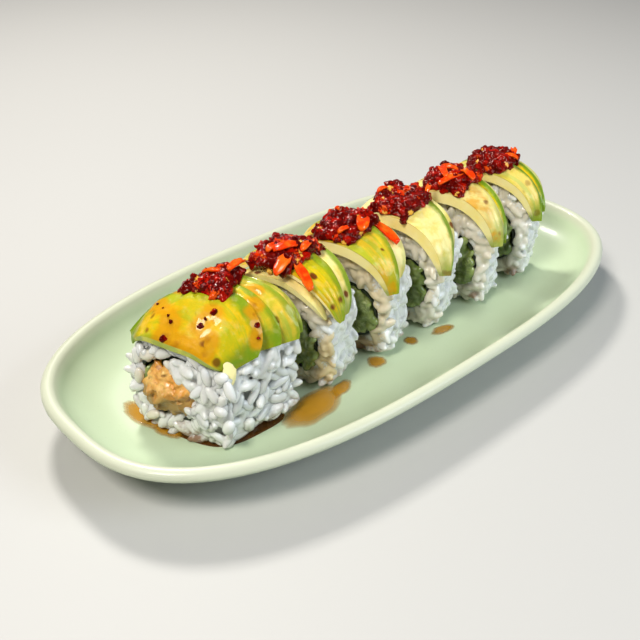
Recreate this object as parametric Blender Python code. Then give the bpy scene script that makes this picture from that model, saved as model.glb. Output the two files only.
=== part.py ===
"""An uramaki roll cut in six and lined up on its long oval plate.

Each slice is a ring of rice round a sheet of seaweed and two fillings, a fried one and a green one.
Overlapping slices of avocado lie over its top like tiles, and a ridge of chilli relish lies on them.
The plate's long side runs along X, and the roll lies along it. The plate's foot stands on Z = 0.
"""

import math
import random

import bmesh
import bpy
from mathutils import Matrix, Vector, noise

MM = 0.001

# Plate
PLATE_LENGTH = 240 * MM
PLATE_WIDTH = 120.2 * MM
PLATE_SQUARENESS = 2.75
RIM_TOP = 20 * MM
LIP_RADIUS = 2.3 * MM
FLOOR = 7.8 * MM
FLOOR_HALF_WIDTH = 37 * MM
FOOT_INNER = 31 * MM
FOOT_OUTER = 36 * MM
FOOT_RECESS = 1.8 * MM
WALL_START = 1.4 * MM
WALL_BEND = (53.5 * MM, 9.5 * MM)
FOOT_EDGE = 1 * MM
LIP_START = math.radians(-10)
LIP_SWEEP = math.radians(170)
WELL_MARGIN = (1.2 * MM, 1.6 * MM)
WELL_END_SLOPE = math.radians(75)
PLATE_STEPS = 40

# Roll
SECTION_POWER_TOP = 2.3
SECTION_POWER_BOTTOM = 3.2
SECTION_MIDDLE = 0.43
SECTION_SINK = 1.0 * MM
CORE_POWER = 2.3
CORE_ROLL_HEIGHT = 40 * MM
SLUMP_LENGTH = 15 * MM
SLUMP_END = -0.05
WAIST_TOP = (0.68, 0.46)
WAIST_FOOT = (0.22, 0.04)
FOOT_FLARE = 0.6
CLEARANCE = 0.35 * MM
BACK_LEAN = 0.06
SEAWEED_THICKNESS = 0.6 * MM
SEAWEED_RECESS = 0.4 * MM
MIDDLE_CORE = (0.5, 17.0, 12.3, 11.3)

# Fillings: name, centre and half size in shares of the core, how far the ends stand out, raggedness
END_FILLINGS = (
    ("fried", -0.05, (0.73, 0.77), (3.0 * MM, 0.5 * MM), 0.22),
    ("green", 0.78, (0.10, 0.40), (0.4 * MM, 0.4 * MM), 0.1),
)
MIDDLE_FILLINGS = (
    ("green", -0.30, (0.57, 0.80), (1.6 * MM, 1.0 * MM), 0.12),
    ("fried", 0.59, (0.26, 0.61), (1.0 * MM, 1.0 * MM), 0.15),
)
FILLING_PROFILE = [(-1.0, 0), (-0.97, 0.55), (-0.9, 1), (-0.2, 1), (0.9, 1), (0.97, 0.55), (1.0, 0)]
FILLING_STEPS = 9
FILLING_GRAIN = (3.1, 2.0, 4.0, 1.7)

# Rice grains, and the bumps of their size
GRAIN_LENGTH = 6.2 * MM
GRAIN_WIDTH = 3.0 * MM
GRAIN_SINK = 0.57 * MM
GRAIN_MARGIN_ANGLE = math.radians(9)
GRAIN_NEAR_END = math.radians(258)
GRAIN_FAR_END = math.radians(-74)
END_GRAINS = (20, 5, 15, 1)
MIDDLE_GRAINS = (10, 3, 3, 1)
BUMP_HEIGHT = 0.84 * MM
BUMP_PITCH = 4.5 * MM
FINE_BUMP_PITCH = BUMP_PITCH / 2.3
BUMP_FADE_ANGLE = math.radians(16)

# Avocado
AVOCADO_GAP = 0.7 * MM
AVOCADO_STACK_GAP = 0.8 * MM
AVOCADO_TIP_THICKNESS = 0.25
TIP_THINNING_POWER = 2.6
TIP_NARROWING = 0.96
BLUNT_TIP_NARROWING = 0.8
EDGE_BEND = 1.5
AVOCADO_STEPS_ACROSS = 7
AVOCADO_STEPS_ALONG = 3

# Chilli relish
RELISH_MIDDLE_ANGLE = math.radians(87)
RELISH_HALF_ANGLE = math.radians(17)
RELISH_HEIGHT = 3.3 * MM
RELISH_RIM = 1.2 * MM
RELISH_LUMP = 2.1 * MM
RELISH_BITS = 6
RELISH_REACH = (1.5 * MM, 0.06)
END_RELISH_START = 11 * MM
END_RELISH_TURN = math.radians(14)
FLAKE_SIZE = (6.5 * MM, 2.4 * MM, 1.0 * MM)


class Layer:
    """One slice of avocado on the rice.

    Its front and back edges are given as shares of the cover's length at the near side, the crest
    and the far side. A knife cuts an outer edge square; an edge under its neighbour is thin.
    """

    def __init__(self, front, back, thick, edges, near=28, far=28, is_under=False):
        self.front = front
        self.back = back
        self.thick = thick * MM
        self.edges = edges
        self.near = math.radians(180 - near)
        self.far = math.radians(far)
        self.is_under = is_under
        self.narrowing = TIP_NARROWING
        self.front_lift = 0.0
        self.back_lift = 0.0


class Slice:
    """One cut piece of the roll, with its own size, place, turn, skew and lean on the plate.

    Its core is the hole through the rice: place across, height, half width and half height. Below the
    avocado the near side draws in by the waist, and the back cut by the tuck.
    """

    def __init__(self, name, place, size, layers, yaw, lean, seed, **more):
        core = [value * MM for value in more.get("core", MIDDLE_CORE)]
        self.name = name
        self.x = place[0] * MM
        self.y = place[1] * MM
        self.length = size[0] * MM
        self.half_width = size[1] * MM / 2
        self.height = size[2] * MM
        self.layers = layers
        self.yaw = math.radians(yaw)
        self.lean = lean
        self.seed = seed
        self.skew = more.get("skew", 0.0)
        self.slump = more.get("slump", 0.0) * MM
        self.overhang = more.get("overhang", 3.0) * MM
        self.waist = more.get("waist", 3.0) * MM
        self.tuck = more.get("tuck", 3.0) * MM
        self.core_y, self.core_height, self.core_half_width, self.core_half_height = core
        if self.slump:
            for layer in layers:
                layer.narrowing = BLUNT_TIP_NARROWING
        for layer, after in zip(layers, layers[1:]):
            if layer.is_under:
                after.front_lift = layer.thick + AVOCADO_STACK_GAP
            else:
                layer.back_lift = after.thick + AVOCADO_STACK_GAP


# How much of its thickness an avocado slice keeps at a knife cut, at a free edge and at a tucked one.
CUT, FREE, TUCKED = 1.0, 0.6, 0.35

END_LAYERS = [
    Layer((-0.03, -0.08, -0.03), (0.45, 0.55, 0.12), 3.2, (FREE, FREE), near=30, far=38),
    Layer((0.39, 0.49, 0.06), (0.66, 0.68, 0.62), 2.4, (TUCKED, FREE), near=30, far=30),
    Layer((0.60, 0.62, 0.56), (0.88, 0.88, 0.88), 2.4, (TUCKED, FREE), near=28, far=26),
    Layer((0.82, 0.82, 0.82), (1.0, 1.0, 1.0), 2.2, (TUCKED, CUT), near=30, far=28),
]
STACKED_LAYERS = [
    Layer((0.0, -0.02, 0.0), (0.22, 0.26, 0.26), 2.2, (CUT, TUCKED), near=31, far=28, is_under=True),
    Layer((0.06, 0.10, 0.10), (0.42, 0.70, 0.66), 2.6, (FREE, FREE), near=24, far=26),
    Layer((0.35, 0.63, 0.59), (0.72, 1.0, 1.0), 2.6, (TUCKED, CUT), near=22, far=28),
]
WIDE_LAYERS = [
    Layer((-0.02, 0.0, 0.04), (0.16, 0.66, 0.66), 4.2, (CUT, FREE), near=26, far=26),
    Layer((0.09, 0.59, 0.59), (0.78, 1.0, 1.0), 2.7, (TUCKED, CUT), near=30, far=28),
]
EVEN_LAYERS = [
    Layer((-0.14, 0.0, 0.04), (0.12, 0.72, 0.74), 4.8, (CUT, FREE), near=21, far=28),
    Layer((0.05, 0.65, 0.67), (0.60, 1.0, 1.0), 2.6, (TUCKED, CUT), near=26, far=26),
]
TRIPLE_LAYERS = [
    Layer((-0.04, 0.0, 0.04), (0.24, 0.55, 0.52), 4.6, (CUT, FREE), near=21, far=27),
    Layer((0.17, 0.48, 0.45), (0.42, 0.85, 0.8), 2.4, (TUCKED, FREE), near=20, far=25),
    Layer((0.35, 0.78, 0.73), (0.72, 1.0, 1.0), 2.4, (TUCKED, CUT), near=22, far=28),
]
LAST_LAYERS = [
    Layer((0.04, 0.0, 0.05), (0.30, 0.50, 0.48), 3.8, (CUT, FREE), near=21, far=27),
    Layer((0.23, 0.43, 0.41), (0.56, 0.76, 0.74), 2.4, (TUCKED, FREE), near=24, far=26),
    Layer((0.49, 0.69, 0.67), (0.90, 1.0, 1.0), 2.4, (TUCKED, CUT), near=28, far=29),
]

# Name, place, size (length, width, height), avocado, yaw in degrees, lean, seed
SLICES = [
    Slice(
        "slice1", (-73.3, -12.0), (31, 34.8, 40.0), END_LAYERS, -2, 0.10, 11,
        skew=-0.36, slump=5, overhang=0.8, waist=2.0, tuck=1.5, core=(2.5, 19.0, 12.9, 12.4),
    ),
    Slice("slice2", (-34.0, -9.5), (19.5, 39.0, 41.0), STACKED_LAYERS, 17, -0.10, 12, waist=1.5, tuck=1.5),
    Slice("slice3", (-6.0, -9.0), (19.5, 39.0, 40.3), WIDE_LAYERS, 18, -0.09, 13, waist=2.6),
    Slice("slice4", (20.5, -8.8), (19.5, 39.0, 40.0), EVEN_LAYERS, 18, -0.06, 14),
    Slice("slice5", (46.5, -9.5), (19.5, 39.0, 40.4), TRIPLE_LAYERS, 18, -0.03, 15, overhang=2.2),
    Slice("slice6", (74.0, -7.5), (19.5, 38.6, 39.7), LAST_LAYERS, 16, -0.02, 16, overhang=1.2),
]


def signed_power(value, power):
    """A power that keeps the sign of what it is given."""
    return math.copysign(abs(value) ** power, value)


def smooth(low, high, value):
    """A smooth step from 0 at low to 1 at high; low may be the greater."""
    share = min(1.0, max(0.0, (value - low) / (high - low)))
    return share * share * (3 - 2 * share)


def material(name, colour, roughness):
    """A plain material in the food's own colour."""
    made = bpy.data.materials.new(name)
    made.use_nodes = True
    shader = made.node_tree.nodes["Principled BSDF"]
    shader.inputs["Base Color"].default_value = (*colour, 1)
    shader.inputs["Roughness"].default_value = roughness
    shader.inputs["Metallic"].default_value = 0
    made.diffuse_color = (*colour, 1)
    return made


def add_object(name, bm, look, parent=None):
    """Turns a finished bmesh into a smooth-shaded object, under its slice's empty if it has one."""
    bmesh.ops.recalc_face_normals(bm, faces=bm.faces)
    if bm.calc_volume(signed=True) < 0:
        bmesh.ops.reverse_faces(bm, faces=bm.faces)
    mesh = bpy.data.meshes.new(name)
    bm.to_mesh(mesh)
    bm.free()
    mesh.shade_smooth()
    mesh.set_sharp_from_angle(angle=math.radians(50))
    mesh.materials.append(look)
    made = bpy.data.objects.new(name, mesh)
    bpy.context.scene.collection.objects.link(made)
    made.parent = parent
    return made


def spun(profile, steps, closed):
    """A profile of (along, radius) pairs turned all the way round X."""
    bm = bmesh.new()
    verts = [bm.verts.new((along, 0, radius)) for along, radius in profile]
    pairs = list(zip(verts, verts[1:]))
    if closed:
        pairs.append((verts[-1], verts[0]))
    edges = [bm.edges.new(pair) for pair in pairs]
    bmesh.ops.spin(
        bm,
        geom=verts + edges,
        cent=(0, 0, 0),
        axis=(1, 0, 0),
        dvec=(0, 0, 0),
        angle=2 * math.pi,
        steps=steps,
        use_merge=True,
    )
    bmesh.ops.remove_doubles(bm, verts=bm.verts, dist=1e-7)
    return bm


def plate_profile():
    """The plate's half section as (height, reach): foot, outer wall, lip, well and floor."""
    lip_height = RIM_TOP - LIP_RADIUS
    lip_middle = PLATE_WIDTH / 2 - LIP_RADIUS
    points = [
        (FOOT_RECESS, 0),
        (FOOT_RECESS, FOOT_INNER),
        (0, FOOT_INNER + FOOT_EDGE),
        (0, FOOT_OUTER - FOOT_EDGE),
    ]
    wall_steps, lip_steps, well_steps = 3, 4, 4
    start, bend = Vector((FOOT_OUTER, WALL_START)), Vector(WALL_BEND)
    end = Vector((lip_middle + LIP_RADIUS * 0.97, lip_height - 0.6 * MM))
    for i in range(wall_steps):
        share = i / wall_steps
        reach, height = start.lerp(bend, share).lerp(bend.lerp(end, share), share)
        points.append((height, reach))
    for i in range(lip_steps + 1):
        turn = LIP_START + LIP_SWEEP * i / lip_steps
        reach = lip_middle + LIP_RADIUS * math.cos(turn)
        points.append((lip_height + LIP_RADIUS * math.sin(turn), reach))
    well_reach = lip_middle - LIP_RADIUS - WELL_MARGIN[0] - FLOOR_HALF_WIDTH
    well_rise = lip_height - WELL_MARGIN[1] - FLOOR
    for i in range(well_steps, -1, -1):
        turn = WELL_END_SLOPE * i / well_steps
        rise = well_rise * (1 - math.cos(turn)) / (1 - math.cos(WELL_END_SLOPE))
        reach = FLOOR_HALF_WIDTH + well_reach * math.sin(turn) / math.sin(WELL_END_SLOPE)
        points.append((FLOOR + rise, reach))
    points.append((FLOOR, 0))
    return points


def make_plate(look):
    """A turned profile, stretched from a circle to the plate's squared oval."""
    bm = spun(plate_profile(), PLATE_STEPS, closed=False)
    stretch = (PLATE_LENGTH - PLATE_WIDTH) / 2
    for vert in bm.verts:
        height, reach = vert.co.x, math.hypot(vert.co.y, vert.co.z)
        turn = math.atan2(vert.co.z, vert.co.y)
        if reach < 1e-6:
            vert.co = (0, 0, height)
            continue
        vert.co = (
            (reach + stretch) * signed_power(math.cos(turn), 2 / PLATE_SQUARENESS),
            reach * signed_power(math.sin(turn), 2 / PLATE_SQUARENESS),
            height,
        )
    return add_object("plate", bm, look)


def rice_height(piece, along):
    """The rice's height at a place along the slice; the roll's end slumps down towards its front."""
    from_front = along + piece.length / 2
    drop = max(0.0, 1 - from_front / SLUMP_LENGTH)
    return piece.height - piece.slump * drop * drop


def outline(piece, along, angle):
    """A point on the rice's outside: (across, up) at an angle that is 90 degrees at the crest."""
    height = rice_height(piece, along)
    middle = height * SECTION_MIDDLE
    power = SECTION_POWER_TOP if math.sin(angle) > 0 else SECTION_POWER_BOTTOM
    reach = height - middle if math.sin(angle) > 0 else middle + SECTION_SINK
    up = middle + reach * signed_power(math.sin(angle), 2 / power)
    half_width = piece.half_width
    if math.cos(angle) < 0:
        flare = 1 - FOOT_FLARE * smooth(*WAIST_FOOT, up / height)
        half_width -= piece.waist * smooth(*WAIST_TOP, up / height) * flare
    across = half_width * signed_power(math.cos(angle), 2 / power)
    return Vector((across + BACK_LEAN * up, max(up, CLEARANCE)))


def settled(piece, along, across, up):
    """The slice's skew, lean and tuck applied to a point of the straight roll."""
    along -= piece.tuck * (along / piece.length + 0.5) * smooth(*WAIST_TOP, up / piece.height)
    return Vector((along + piece.skew * across + piece.lean * up, across, up))


def lifted(piece, along, angle, offset):
    """The point at this offset outside the rice, in the slice's own frame."""
    step = 0.01
    here = outline(piece, along, angle)
    ahead, behind = outline(piece, along, angle + step), outline(piece, along, angle - step)
    tangent = (ahead - behind).normalized()
    return settled(piece, along, here.x + tangent.y * offset, here.y - tangent.x * offset)


def core_point(piece, along, angle, shrink=0.0, share=(1.0, 1.0), centre=0.0):
    """A point on an oval section in the roll's core, squashed as much as the rice is there: (across, up).

    The share is of the core's half width and half height, and the centre is in half widths.
    """
    squash = rice_height(piece, along) / CORE_ROLL_HEIGHT
    half_width = piece.core_half_width * share[0] - shrink
    half_height = piece.core_half_height * share[1] - shrink
    middle = piece.core_y + piece.core_half_width * centre
    across = middle + half_width * signed_power(math.cos(angle), 2 / CORE_POWER)
    up = piece.core_height + half_height * signed_power(math.sin(angle), 2 / CORE_POWER)
    return Vector((across, up * squash))


def tapered(shares, place):
    """A value given at the near side (-1), the crest (0) and the far side (1), in between."""
    near, crest, far = shares
    side = far if place > 0 else near
    return crest + (side - crest) * abs(place) ** EDGE_BEND


def cover_place(piece, share):
    """The place along the slice of a share of the avocado cover's length."""
    cover = piece.length + 2 * piece.overhang
    return -cover / 2 + cover * share


def layer_edges(piece, layer, place):
    """Where one avocado slice starts and ends along the roll; it narrows to a rounded tip on both sides."""
    front = cover_place(piece, tapered(layer.front, place))
    back = cover_place(piece, tapered(layer.back, place))
    narrowing = 0.5 * (back - front) * (1 - math.sqrt(1 - layer.narrowing * place**4))
    return front + narrowing, back - narrowing


def layer_offsets(layer, share, place):
    """The inner and outer offset of an avocado slice from the rice, at a share of its width."""
    inner = AVOCADO_GAP + layer.front_lift * (1 - share) ** 1.2 + layer.back_lift * share**1.2
    edge = layer.edges[0] if share < 0.5 else layer.edges[1]
    rounding = edge + (1 - edge) * (1 - abs(2 * share - 1) ** 2.5)
    tip = AVOCADO_TIP_THICKNESS + (1 - AVOCADO_TIP_THICKNESS) * (1 - abs(place) ** TIP_THINNING_POWER)
    return inner, inner + layer.thick * rounding * tip


def make_avocado(piece, number, layer, look, parent):
    """One avocado slice: a grid given a thickness and bent over the rice."""
    bm = bmesh.new()
    bmesh.ops.create_grid(
        bm, x_segments=AVOCADO_STEPS_ACROSS, y_segments=AVOCADO_STEPS_ALONG, size=1
    )
    raised = bmesh.ops.extrude_face_region(bm, geom=bm.faces[:], use_keep_orig=True)
    for vert in (v for v in raised["geom"] if isinstance(v, bmesh.types.BMVert)):
        vert.co.z = 1
    for vert in bm.verts:
        place, share, outer = vert.co.x, (vert.co.y + 1) / 2, vert.co.z > 0.5
        angle = layer.near + (layer.far - layer.near) * (place + 1) / 2
        front, back = layer_edges(piece, layer, place)
        offsets = layer_offsets(layer, share, place)
        offset = offsets[1] if outer else offsets[0]
        vert.co = lifted(piece, front + (back - front) * share, angle, offset)
    return add_object(f"{piece.name}_avocado{number}", bm, look, parent)


def cover_top(piece, along, angle):
    """How far the avocado stands out from the rice at this place."""
    top = AVOCADO_GAP
    for layer in piece.layers:
        place = 2 * (angle - layer.near) / (layer.far - layer.near) - 1
        if abs(place) > 1:
            continue
        front, back = layer_edges(piece, layer, place)
        share = (along - front) / (back - front)
        if -0.12 < share < 1.12:
            top = max(top, layer_offsets(layer, min(1, max(0, share)), place)[1])
    return top


def fuse(base, parts):
    """Joins small solids to the one they sit on, as one Boolean union, and removes them."""
    group = bpy.data.collections.new("fused")
    for part in parts:
        for owner in part.users_collection:
            owner.objects.unlink(part)
        group.objects.link(part)
    joining = base.modifiers.new("fuse", "BOOLEAN")
    joining.operation = "UNION"
    joining.solver = "MANIFOLD"
    joining.operand_type = "COLLECTION"
    joining.collection = group
    bpy.context.view_layer.update()
    evaluated = base.evaluated_get(bpy.context.evaluated_depsgraph_get())
    joined = bpy.data.meshes.new_from_object(evaluated)
    base.modifiers.remove(joining)
    base.data = joined
    for part in parts:
        bpy.data.objects.remove(part)
    bpy.data.collections.remove(group)


def ball(name, size, place, turn, look, parent):
    """A rounded bit with few sides, long in X: a rice grain or a lump of relish."""
    bm = bmesh.new()
    bmesh.ops.create_uvsphere(bm, u_segments=4, v_segments=3, radius=1)
    bmesh.ops.rotate(bm, cent=(0, 0, 0), matrix=Matrix.Rotation(math.pi / 2, 3, "Y"), verts=bm.verts)
    bmesh.ops.scale(bm, vec=size, verts=bm.verts)
    bmesh.ops.transform(bm, matrix=Matrix.Translation(place) @ turn.to_4x4(), verts=bm.verts)
    for vert in bm.verts:
        vert.co.z = max(vert.co.z, CLEARANCE * 1.3)
    return add_object(name, bm, look, parent)


def roughened(bm, piece, is_covered):
    """Raises bumps the size of rice grains wherever the rice shows."""
    bm.normal_update()
    offset = Vector((piece.seed, 2 * piece.seed, 0))
    moves = {}
    for vert in bm.verts:
        if is_covered(vert):
            continue
        height = noise.noise(vert.co / BUMP_PITCH + offset)
        height += 0.5 * noise.noise(vert.co / FINE_BUMP_PITCH + offset)
        moves[vert] = vert.normal * (BUMP_HEIGHT * height)
    for vert, move in moves.items():
        vert.co += move
        vert.co.z = max(vert.co.z, CLEARANCE)


def make_rice(piece, look, parent):
    """The ring of rice: a turned ring set to the slice's section, with bumps and some whole grains."""
    is_end = piece.slump > 0
    along_steps, face_steps, around = (6, 2, 28) if is_end else (3, 2, 22)
    outer = [(-1 + 2 * i / along_steps, 2) for i in range(along_steps + 1)]
    back = [(1, 2 - i / face_steps) for i in range(1, face_steps + 1)]
    front = [(-1, 1 + i / face_steps) for i in range(face_steps)]
    hole = [(SLUMP_END, 1)] if is_end else []
    bm = spun(outer + back + hole + front, around, closed=True)
    inside, covered = set(), set()
    near, far = max(x.near for x in piece.layers), min(x.far for x in piece.layers)
    for vert in bm.verts:
        angle = math.atan2(vert.co.z, vert.co.y)
        share = math.hypot(vert.co.y, vert.co.z) - 1
        along = vert.co.x * piece.length / 2
        hole = core_point(piece, along, angle)
        if share < 0.01:
            inside.add(vert)
        if far - BUMP_FADE_ANGLE < angle < near + BUMP_FADE_ANGLE and share > 0.75:
            covered.add(vert)
        across, up = hole.lerp(outline(piece, along, angle), share)
        vert.co = settled(piece, along, across, up)
    roughened(bm, piece, lambda vert: vert in inside or vert in covered)
    rice = add_object(f"{piece.name}_rice", bm, look, parent)
    fuse(rice, rice_grains(piece, END_GRAINS if is_end else MIDDLE_GRAINS, look, parent))
    return rice


def rice_grains(piece, counts, look, parent):
    """Whole grains lying on the rice where it shows, spread evenly by a golden-ratio rule.

    The counts are for the near side, the far side, the front cut and the back cut.
    """
    draw = random.Random(piece.seed)
    golden = (math.sqrt(5) - 1) / 2
    grains = []
    near_start = max(layer.near for layer in piece.layers) + GRAIN_MARGIN_ANGLE
    far_start = min(layer.far for layer in piece.layers) - GRAIN_MARGIN_ANGLE
    sides = ((near_start, GRAIN_NEAR_END, counts[0]), (far_start, GRAIN_FAR_END, counts[1]))
    for first, last, count in sides:
        for i in range(count):
            angle = first + (last - first) * i / count
            along = ((i * golden) % 1 - 0.5) * (piece.length - GRAIN_WIDTH * 1.5)
            place = lifted(piece, along, angle, -GRAIN_SINK)
            normal = (lifted(piece, along, angle, 1 * MM) - place).normalized()
            grains.append((place, normal, Vector((1, 0, 0)), draw.uniform(-1.1, 1.1)))
    for side, count in ((-1, counts[2]), (1, counts[3])):
        along = side * (piece.length / 2 - GRAIN_SINK)
        for i in range(count):
            angle = 2 * math.pi * (i * golden)
            hole = core_point(piece, along, angle)
            across, up = hole.lerp(outline(piece, along, angle), draw.uniform(0.42, 0.56))
            around = Vector((0, -math.sin(angle), math.cos(angle)))
            place = settled(piece, along, across, up)
            grains.append((place, Vector((side, 0, 0)), around, draw.uniform(-0.5, 0.5)))
    bodies = []
    for i, (place, normal, towards, swing) in enumerate(grains):
        turn = Matrix.Rotation(swing, 3, normal) @ facing(normal, towards)
        size = Vector((GRAIN_LENGTH, GRAIN_WIDTH, GRAIN_WIDTH)) / 2 * draw.uniform(0.88, 1.06)
        bodies.append(ball(f"grain{i}", size, place, turn, look, parent))
    return bodies


def facing(normal, towards):
    """A turn that takes Z to a normal and X as near as it can to a direction."""
    side = normal.cross(towards).normalized()
    return Matrix((side.cross(normal), side, normal)).transposed()


def make_seaweed(piece, look, parent):
    """The sheet of seaweed as a thin tube round the fillings, just inside both cuts."""
    ends = [-1, SLUMP_END, 1] if piece.slump > 0 else [-1, 1]
    bm = spun([(end, 2) for end in ends] + [(end, 1) for end in reversed(ends)], 14, closed=True)
    for vert in bm.verts:
        angle = math.atan2(vert.co.z, vert.co.y)
        is_outer = math.hypot(vert.co.y, vert.co.z) > 1.5
        shrink = CLEARANCE + (0 if is_outer else SEAWEED_THICKNESS)
        along = vert.co.x * (piece.length / 2 - SEAWEED_RECESS)
        across, up = core_point(piece, along, angle, shrink)
        vert.co = settled(piece, along, across, up)
    return add_object(f"{piece.name}_seaweed", bm, look, parent)


def make_filling(piece, name, centre, half_size, proud, crag, look, parent):
    """A filling that runs through the slice: a lumpy rod whose ends bulge out of the cuts."""
    reach = piece.length / 2
    by_piece, by_share, by_length, by_turn = FILLING_GRAIN
    bm = spun(FILLING_PROFILE, FILLING_STEPS, closed=False)
    for vert in bm.verts:
        angle = math.atan2(vert.co.z, vert.co.y)
        share = math.hypot(vert.co.y, vert.co.z)
        bulge = reach + (proud[0] if vert.co.x < 0 else proud[1])
        seed = Vector((piece.seed * by_piece, share * by_share, vert.co.x * by_length))
        seed += Vector((0, math.cos(angle), math.sin(angle))) * by_turn
        rough = 1 - crag * (0.5 + 0.5 * noise.noise(seed))
        along = vert.co.x * bulge
        middle = core_point(piece, along, 0, share=(0, 0), centre=centre)
        edge = core_point(piece, along, angle, share=half_size, centre=centre)
        across, up = middle.lerp(edge, share * rough)
        vert.co = settled(piece, along, across, up)
    return add_object(f"{piece.name}_{name}", bm, look, parent)


def make_relish(piece, look, parent):
    """The ridge of relish on the crest: a lumpy slab on the avocado, with lumps and flakes joined on."""
    draw = random.Random(piece.seed * 7)
    bm = bmesh.new()
    bmesh.ops.create_grid(bm, x_segments=4, y_segments=7, size=1)
    raised = bmesh.ops.extrude_face_region(bm, geom=bm.faces[:], use_keep_orig=True)
    for vert in (v for v in raised["geom"] if isinstance(v, bmesh.types.BMVert)):
        vert.co.z = 1
    back = piece.length / 2 + piece.overhang - CLEARANCE
    front = -back
    if piece.slump > 0:
        front += END_RELISH_START
    lumps = []
    for vert in bm.verts:
        across, share, is_outer = vert.co.x, (vert.co.y + 1) / 2, vert.co.z > 0.5
        narrow = 1 - 0.2 * abs(2 * share - 1) ** 3
        if piece.slump > 0:
            narrow -= 0.35 * share
        middle_angle = RELISH_MIDDLE_ANGLE - (END_RELISH_TURN * share if piece.slump > 0 else 0)
        angle = middle_angle - across * RELISH_HALF_ANGLE * narrow
        along = front + (back - front) * share
        around = [(da * RELISH_REACH[0], db * RELISH_REACH[1]) for da in (-1, 0, 1) for db in (-1, 0, 1)]
        inner = max(cover_top(piece, along + da, angle + db) for da, db in around) + CLEARANCE
        if is_outer:
            middle = (1 - across**4) * (1 - (2 * share - 1) ** 8)
            uneven = 0.8 + 0.5 * noise.noise(Vector((along / (5 * MM), across * 1.5, piece.seed)))
            inner += RELISH_RIM + (RELISH_HEIGHT - RELISH_RIM) * middle * uneven
        vert.co = lifted(piece, along, angle, inner)
        is_inside = abs(across) < 0.6 and 0.1 < share < 0.9
        if is_outer and is_inside:
            lumps.append(vert.co.copy())
    relish = add_object(f"{piece.name}_relish", bm, look, parent)
    fuse(relish, relish_bits(lumps, draw, look, parent))
    return relish


def relish_bits(places, draw, look, parent):
    """Lumps and pepper flakes on the relish; every third place holds a flake."""
    bits = []
    draw.shuffle(places)
    for i, place in enumerate(places[:RELISH_BITS]):
        turn = Matrix.Rotation(draw.uniform(0, math.pi), 3, "Z")
        turn @= Matrix.Rotation(draw.uniform(-0.5, 0.5), 3, "Y")
        if i % 3 == 0:
            bm = bmesh.new()
            bmesh.ops.create_cube(bm, size=1)
            bmesh.ops.scale(bm, vec=FLAKE_SIZE, verts=bm.verts)
            lift = Matrix.Translation(place + Vector((0, 0, 0.2 * MM)))
            bmesh.ops.transform(bm, matrix=lift @ turn.to_4x4(), verts=bm.verts)
            bits.append(add_object(f"flake{i}", bm, look, parent))
        else:
            size = Vector((1, 0.85, 0.75)) * RELISH_LUMP * draw.uniform(0.7, 1.0)
            bits.append(ball(f"lump{i}", size, place, turn, look, parent))
    return bits


def make_slice(piece, looks):
    """All the nodes of one slice, under an empty that sets it on the plate."""
    stand = bpy.data.objects.new(piece.name, None)
    stand.location = (piece.x, piece.y, FLOOR)
    stand.rotation_euler = (0, 0, piece.yaw)
    bpy.context.scene.collection.objects.link(stand)
    make_rice(piece, looks["rice"], stand)
    make_seaweed(piece, looks["seaweed"], stand)
    for name, centre, half_size, proud, crag in END_FILLINGS if piece.slump > 0 else MIDDLE_FILLINGS:
        make_filling(piece, name, centre, half_size, proud, crag, looks[name], stand)
    for number, layer in enumerate(piece.layers, start=1):
        make_avocado(piece, number, layer, looks["avocado"], stand)
    make_relish(piece, looks["relish"], stand)


def main():
    for old in list(bpy.data.objects):
        bpy.data.objects.remove(old)
    looks = {
        "rice": material("rice", (0.80, 0.81, 0.80), 0.35),
        "seaweed": material("seaweed", (0.015, 0.02, 0.012), 0.4),
        "fried": material("fried", (0.66, 0.30, 0.08), 0.55),
        "green": material("green", (0.13, 0.24, 0.06), 0.35),
        "avocado": material("avocado", (0.62, 0.62, 0.10), 0.25),
        "relish": material("relish", (0.18, 0.008, 0.006), 0.15),
    }
    make_plate(material("glaze", (0.58, 0.66, 0.50), 0.12))
    for piece in SLICES:
        make_slice(piece, looks)


main()
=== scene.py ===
import math
import random
from functools import partial

import bmesh
import bpy
from bpy.props import FloatProperty, FloatVectorProperty, IntProperty, PointerProperty
from mathutils import Matrix, Vector, noise
from mathutils.kdtree import KDTree


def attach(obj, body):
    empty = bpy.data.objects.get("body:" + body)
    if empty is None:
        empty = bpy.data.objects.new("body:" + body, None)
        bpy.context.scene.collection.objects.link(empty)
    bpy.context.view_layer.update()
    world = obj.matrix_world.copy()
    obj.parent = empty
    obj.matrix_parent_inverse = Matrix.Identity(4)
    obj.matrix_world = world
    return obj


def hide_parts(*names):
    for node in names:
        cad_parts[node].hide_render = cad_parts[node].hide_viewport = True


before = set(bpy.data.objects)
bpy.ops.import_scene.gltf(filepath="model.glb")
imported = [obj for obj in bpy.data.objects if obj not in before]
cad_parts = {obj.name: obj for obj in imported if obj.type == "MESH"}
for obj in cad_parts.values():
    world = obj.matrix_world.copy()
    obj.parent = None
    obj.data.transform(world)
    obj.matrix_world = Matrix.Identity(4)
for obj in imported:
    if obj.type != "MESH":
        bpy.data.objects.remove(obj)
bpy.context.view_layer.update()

bl_info = {
    "name": "Uramaki roll on a plate",
    "version": (1, 0, 0),
    "blender": (4, 5, 0),
    "location": "View3D > Sidebar > Uramaki",
    "description": "Builds the looks of an uramaki roll, sliced and topped, on its oval plate",
    "category": "Object",
}

MM = 0.001

# How many small shapes are made in one mesh at a time
BATCH = 12

# Edges that turn by more than this stay sharp
SHARP_ANGLE = math.radians(55)

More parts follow.
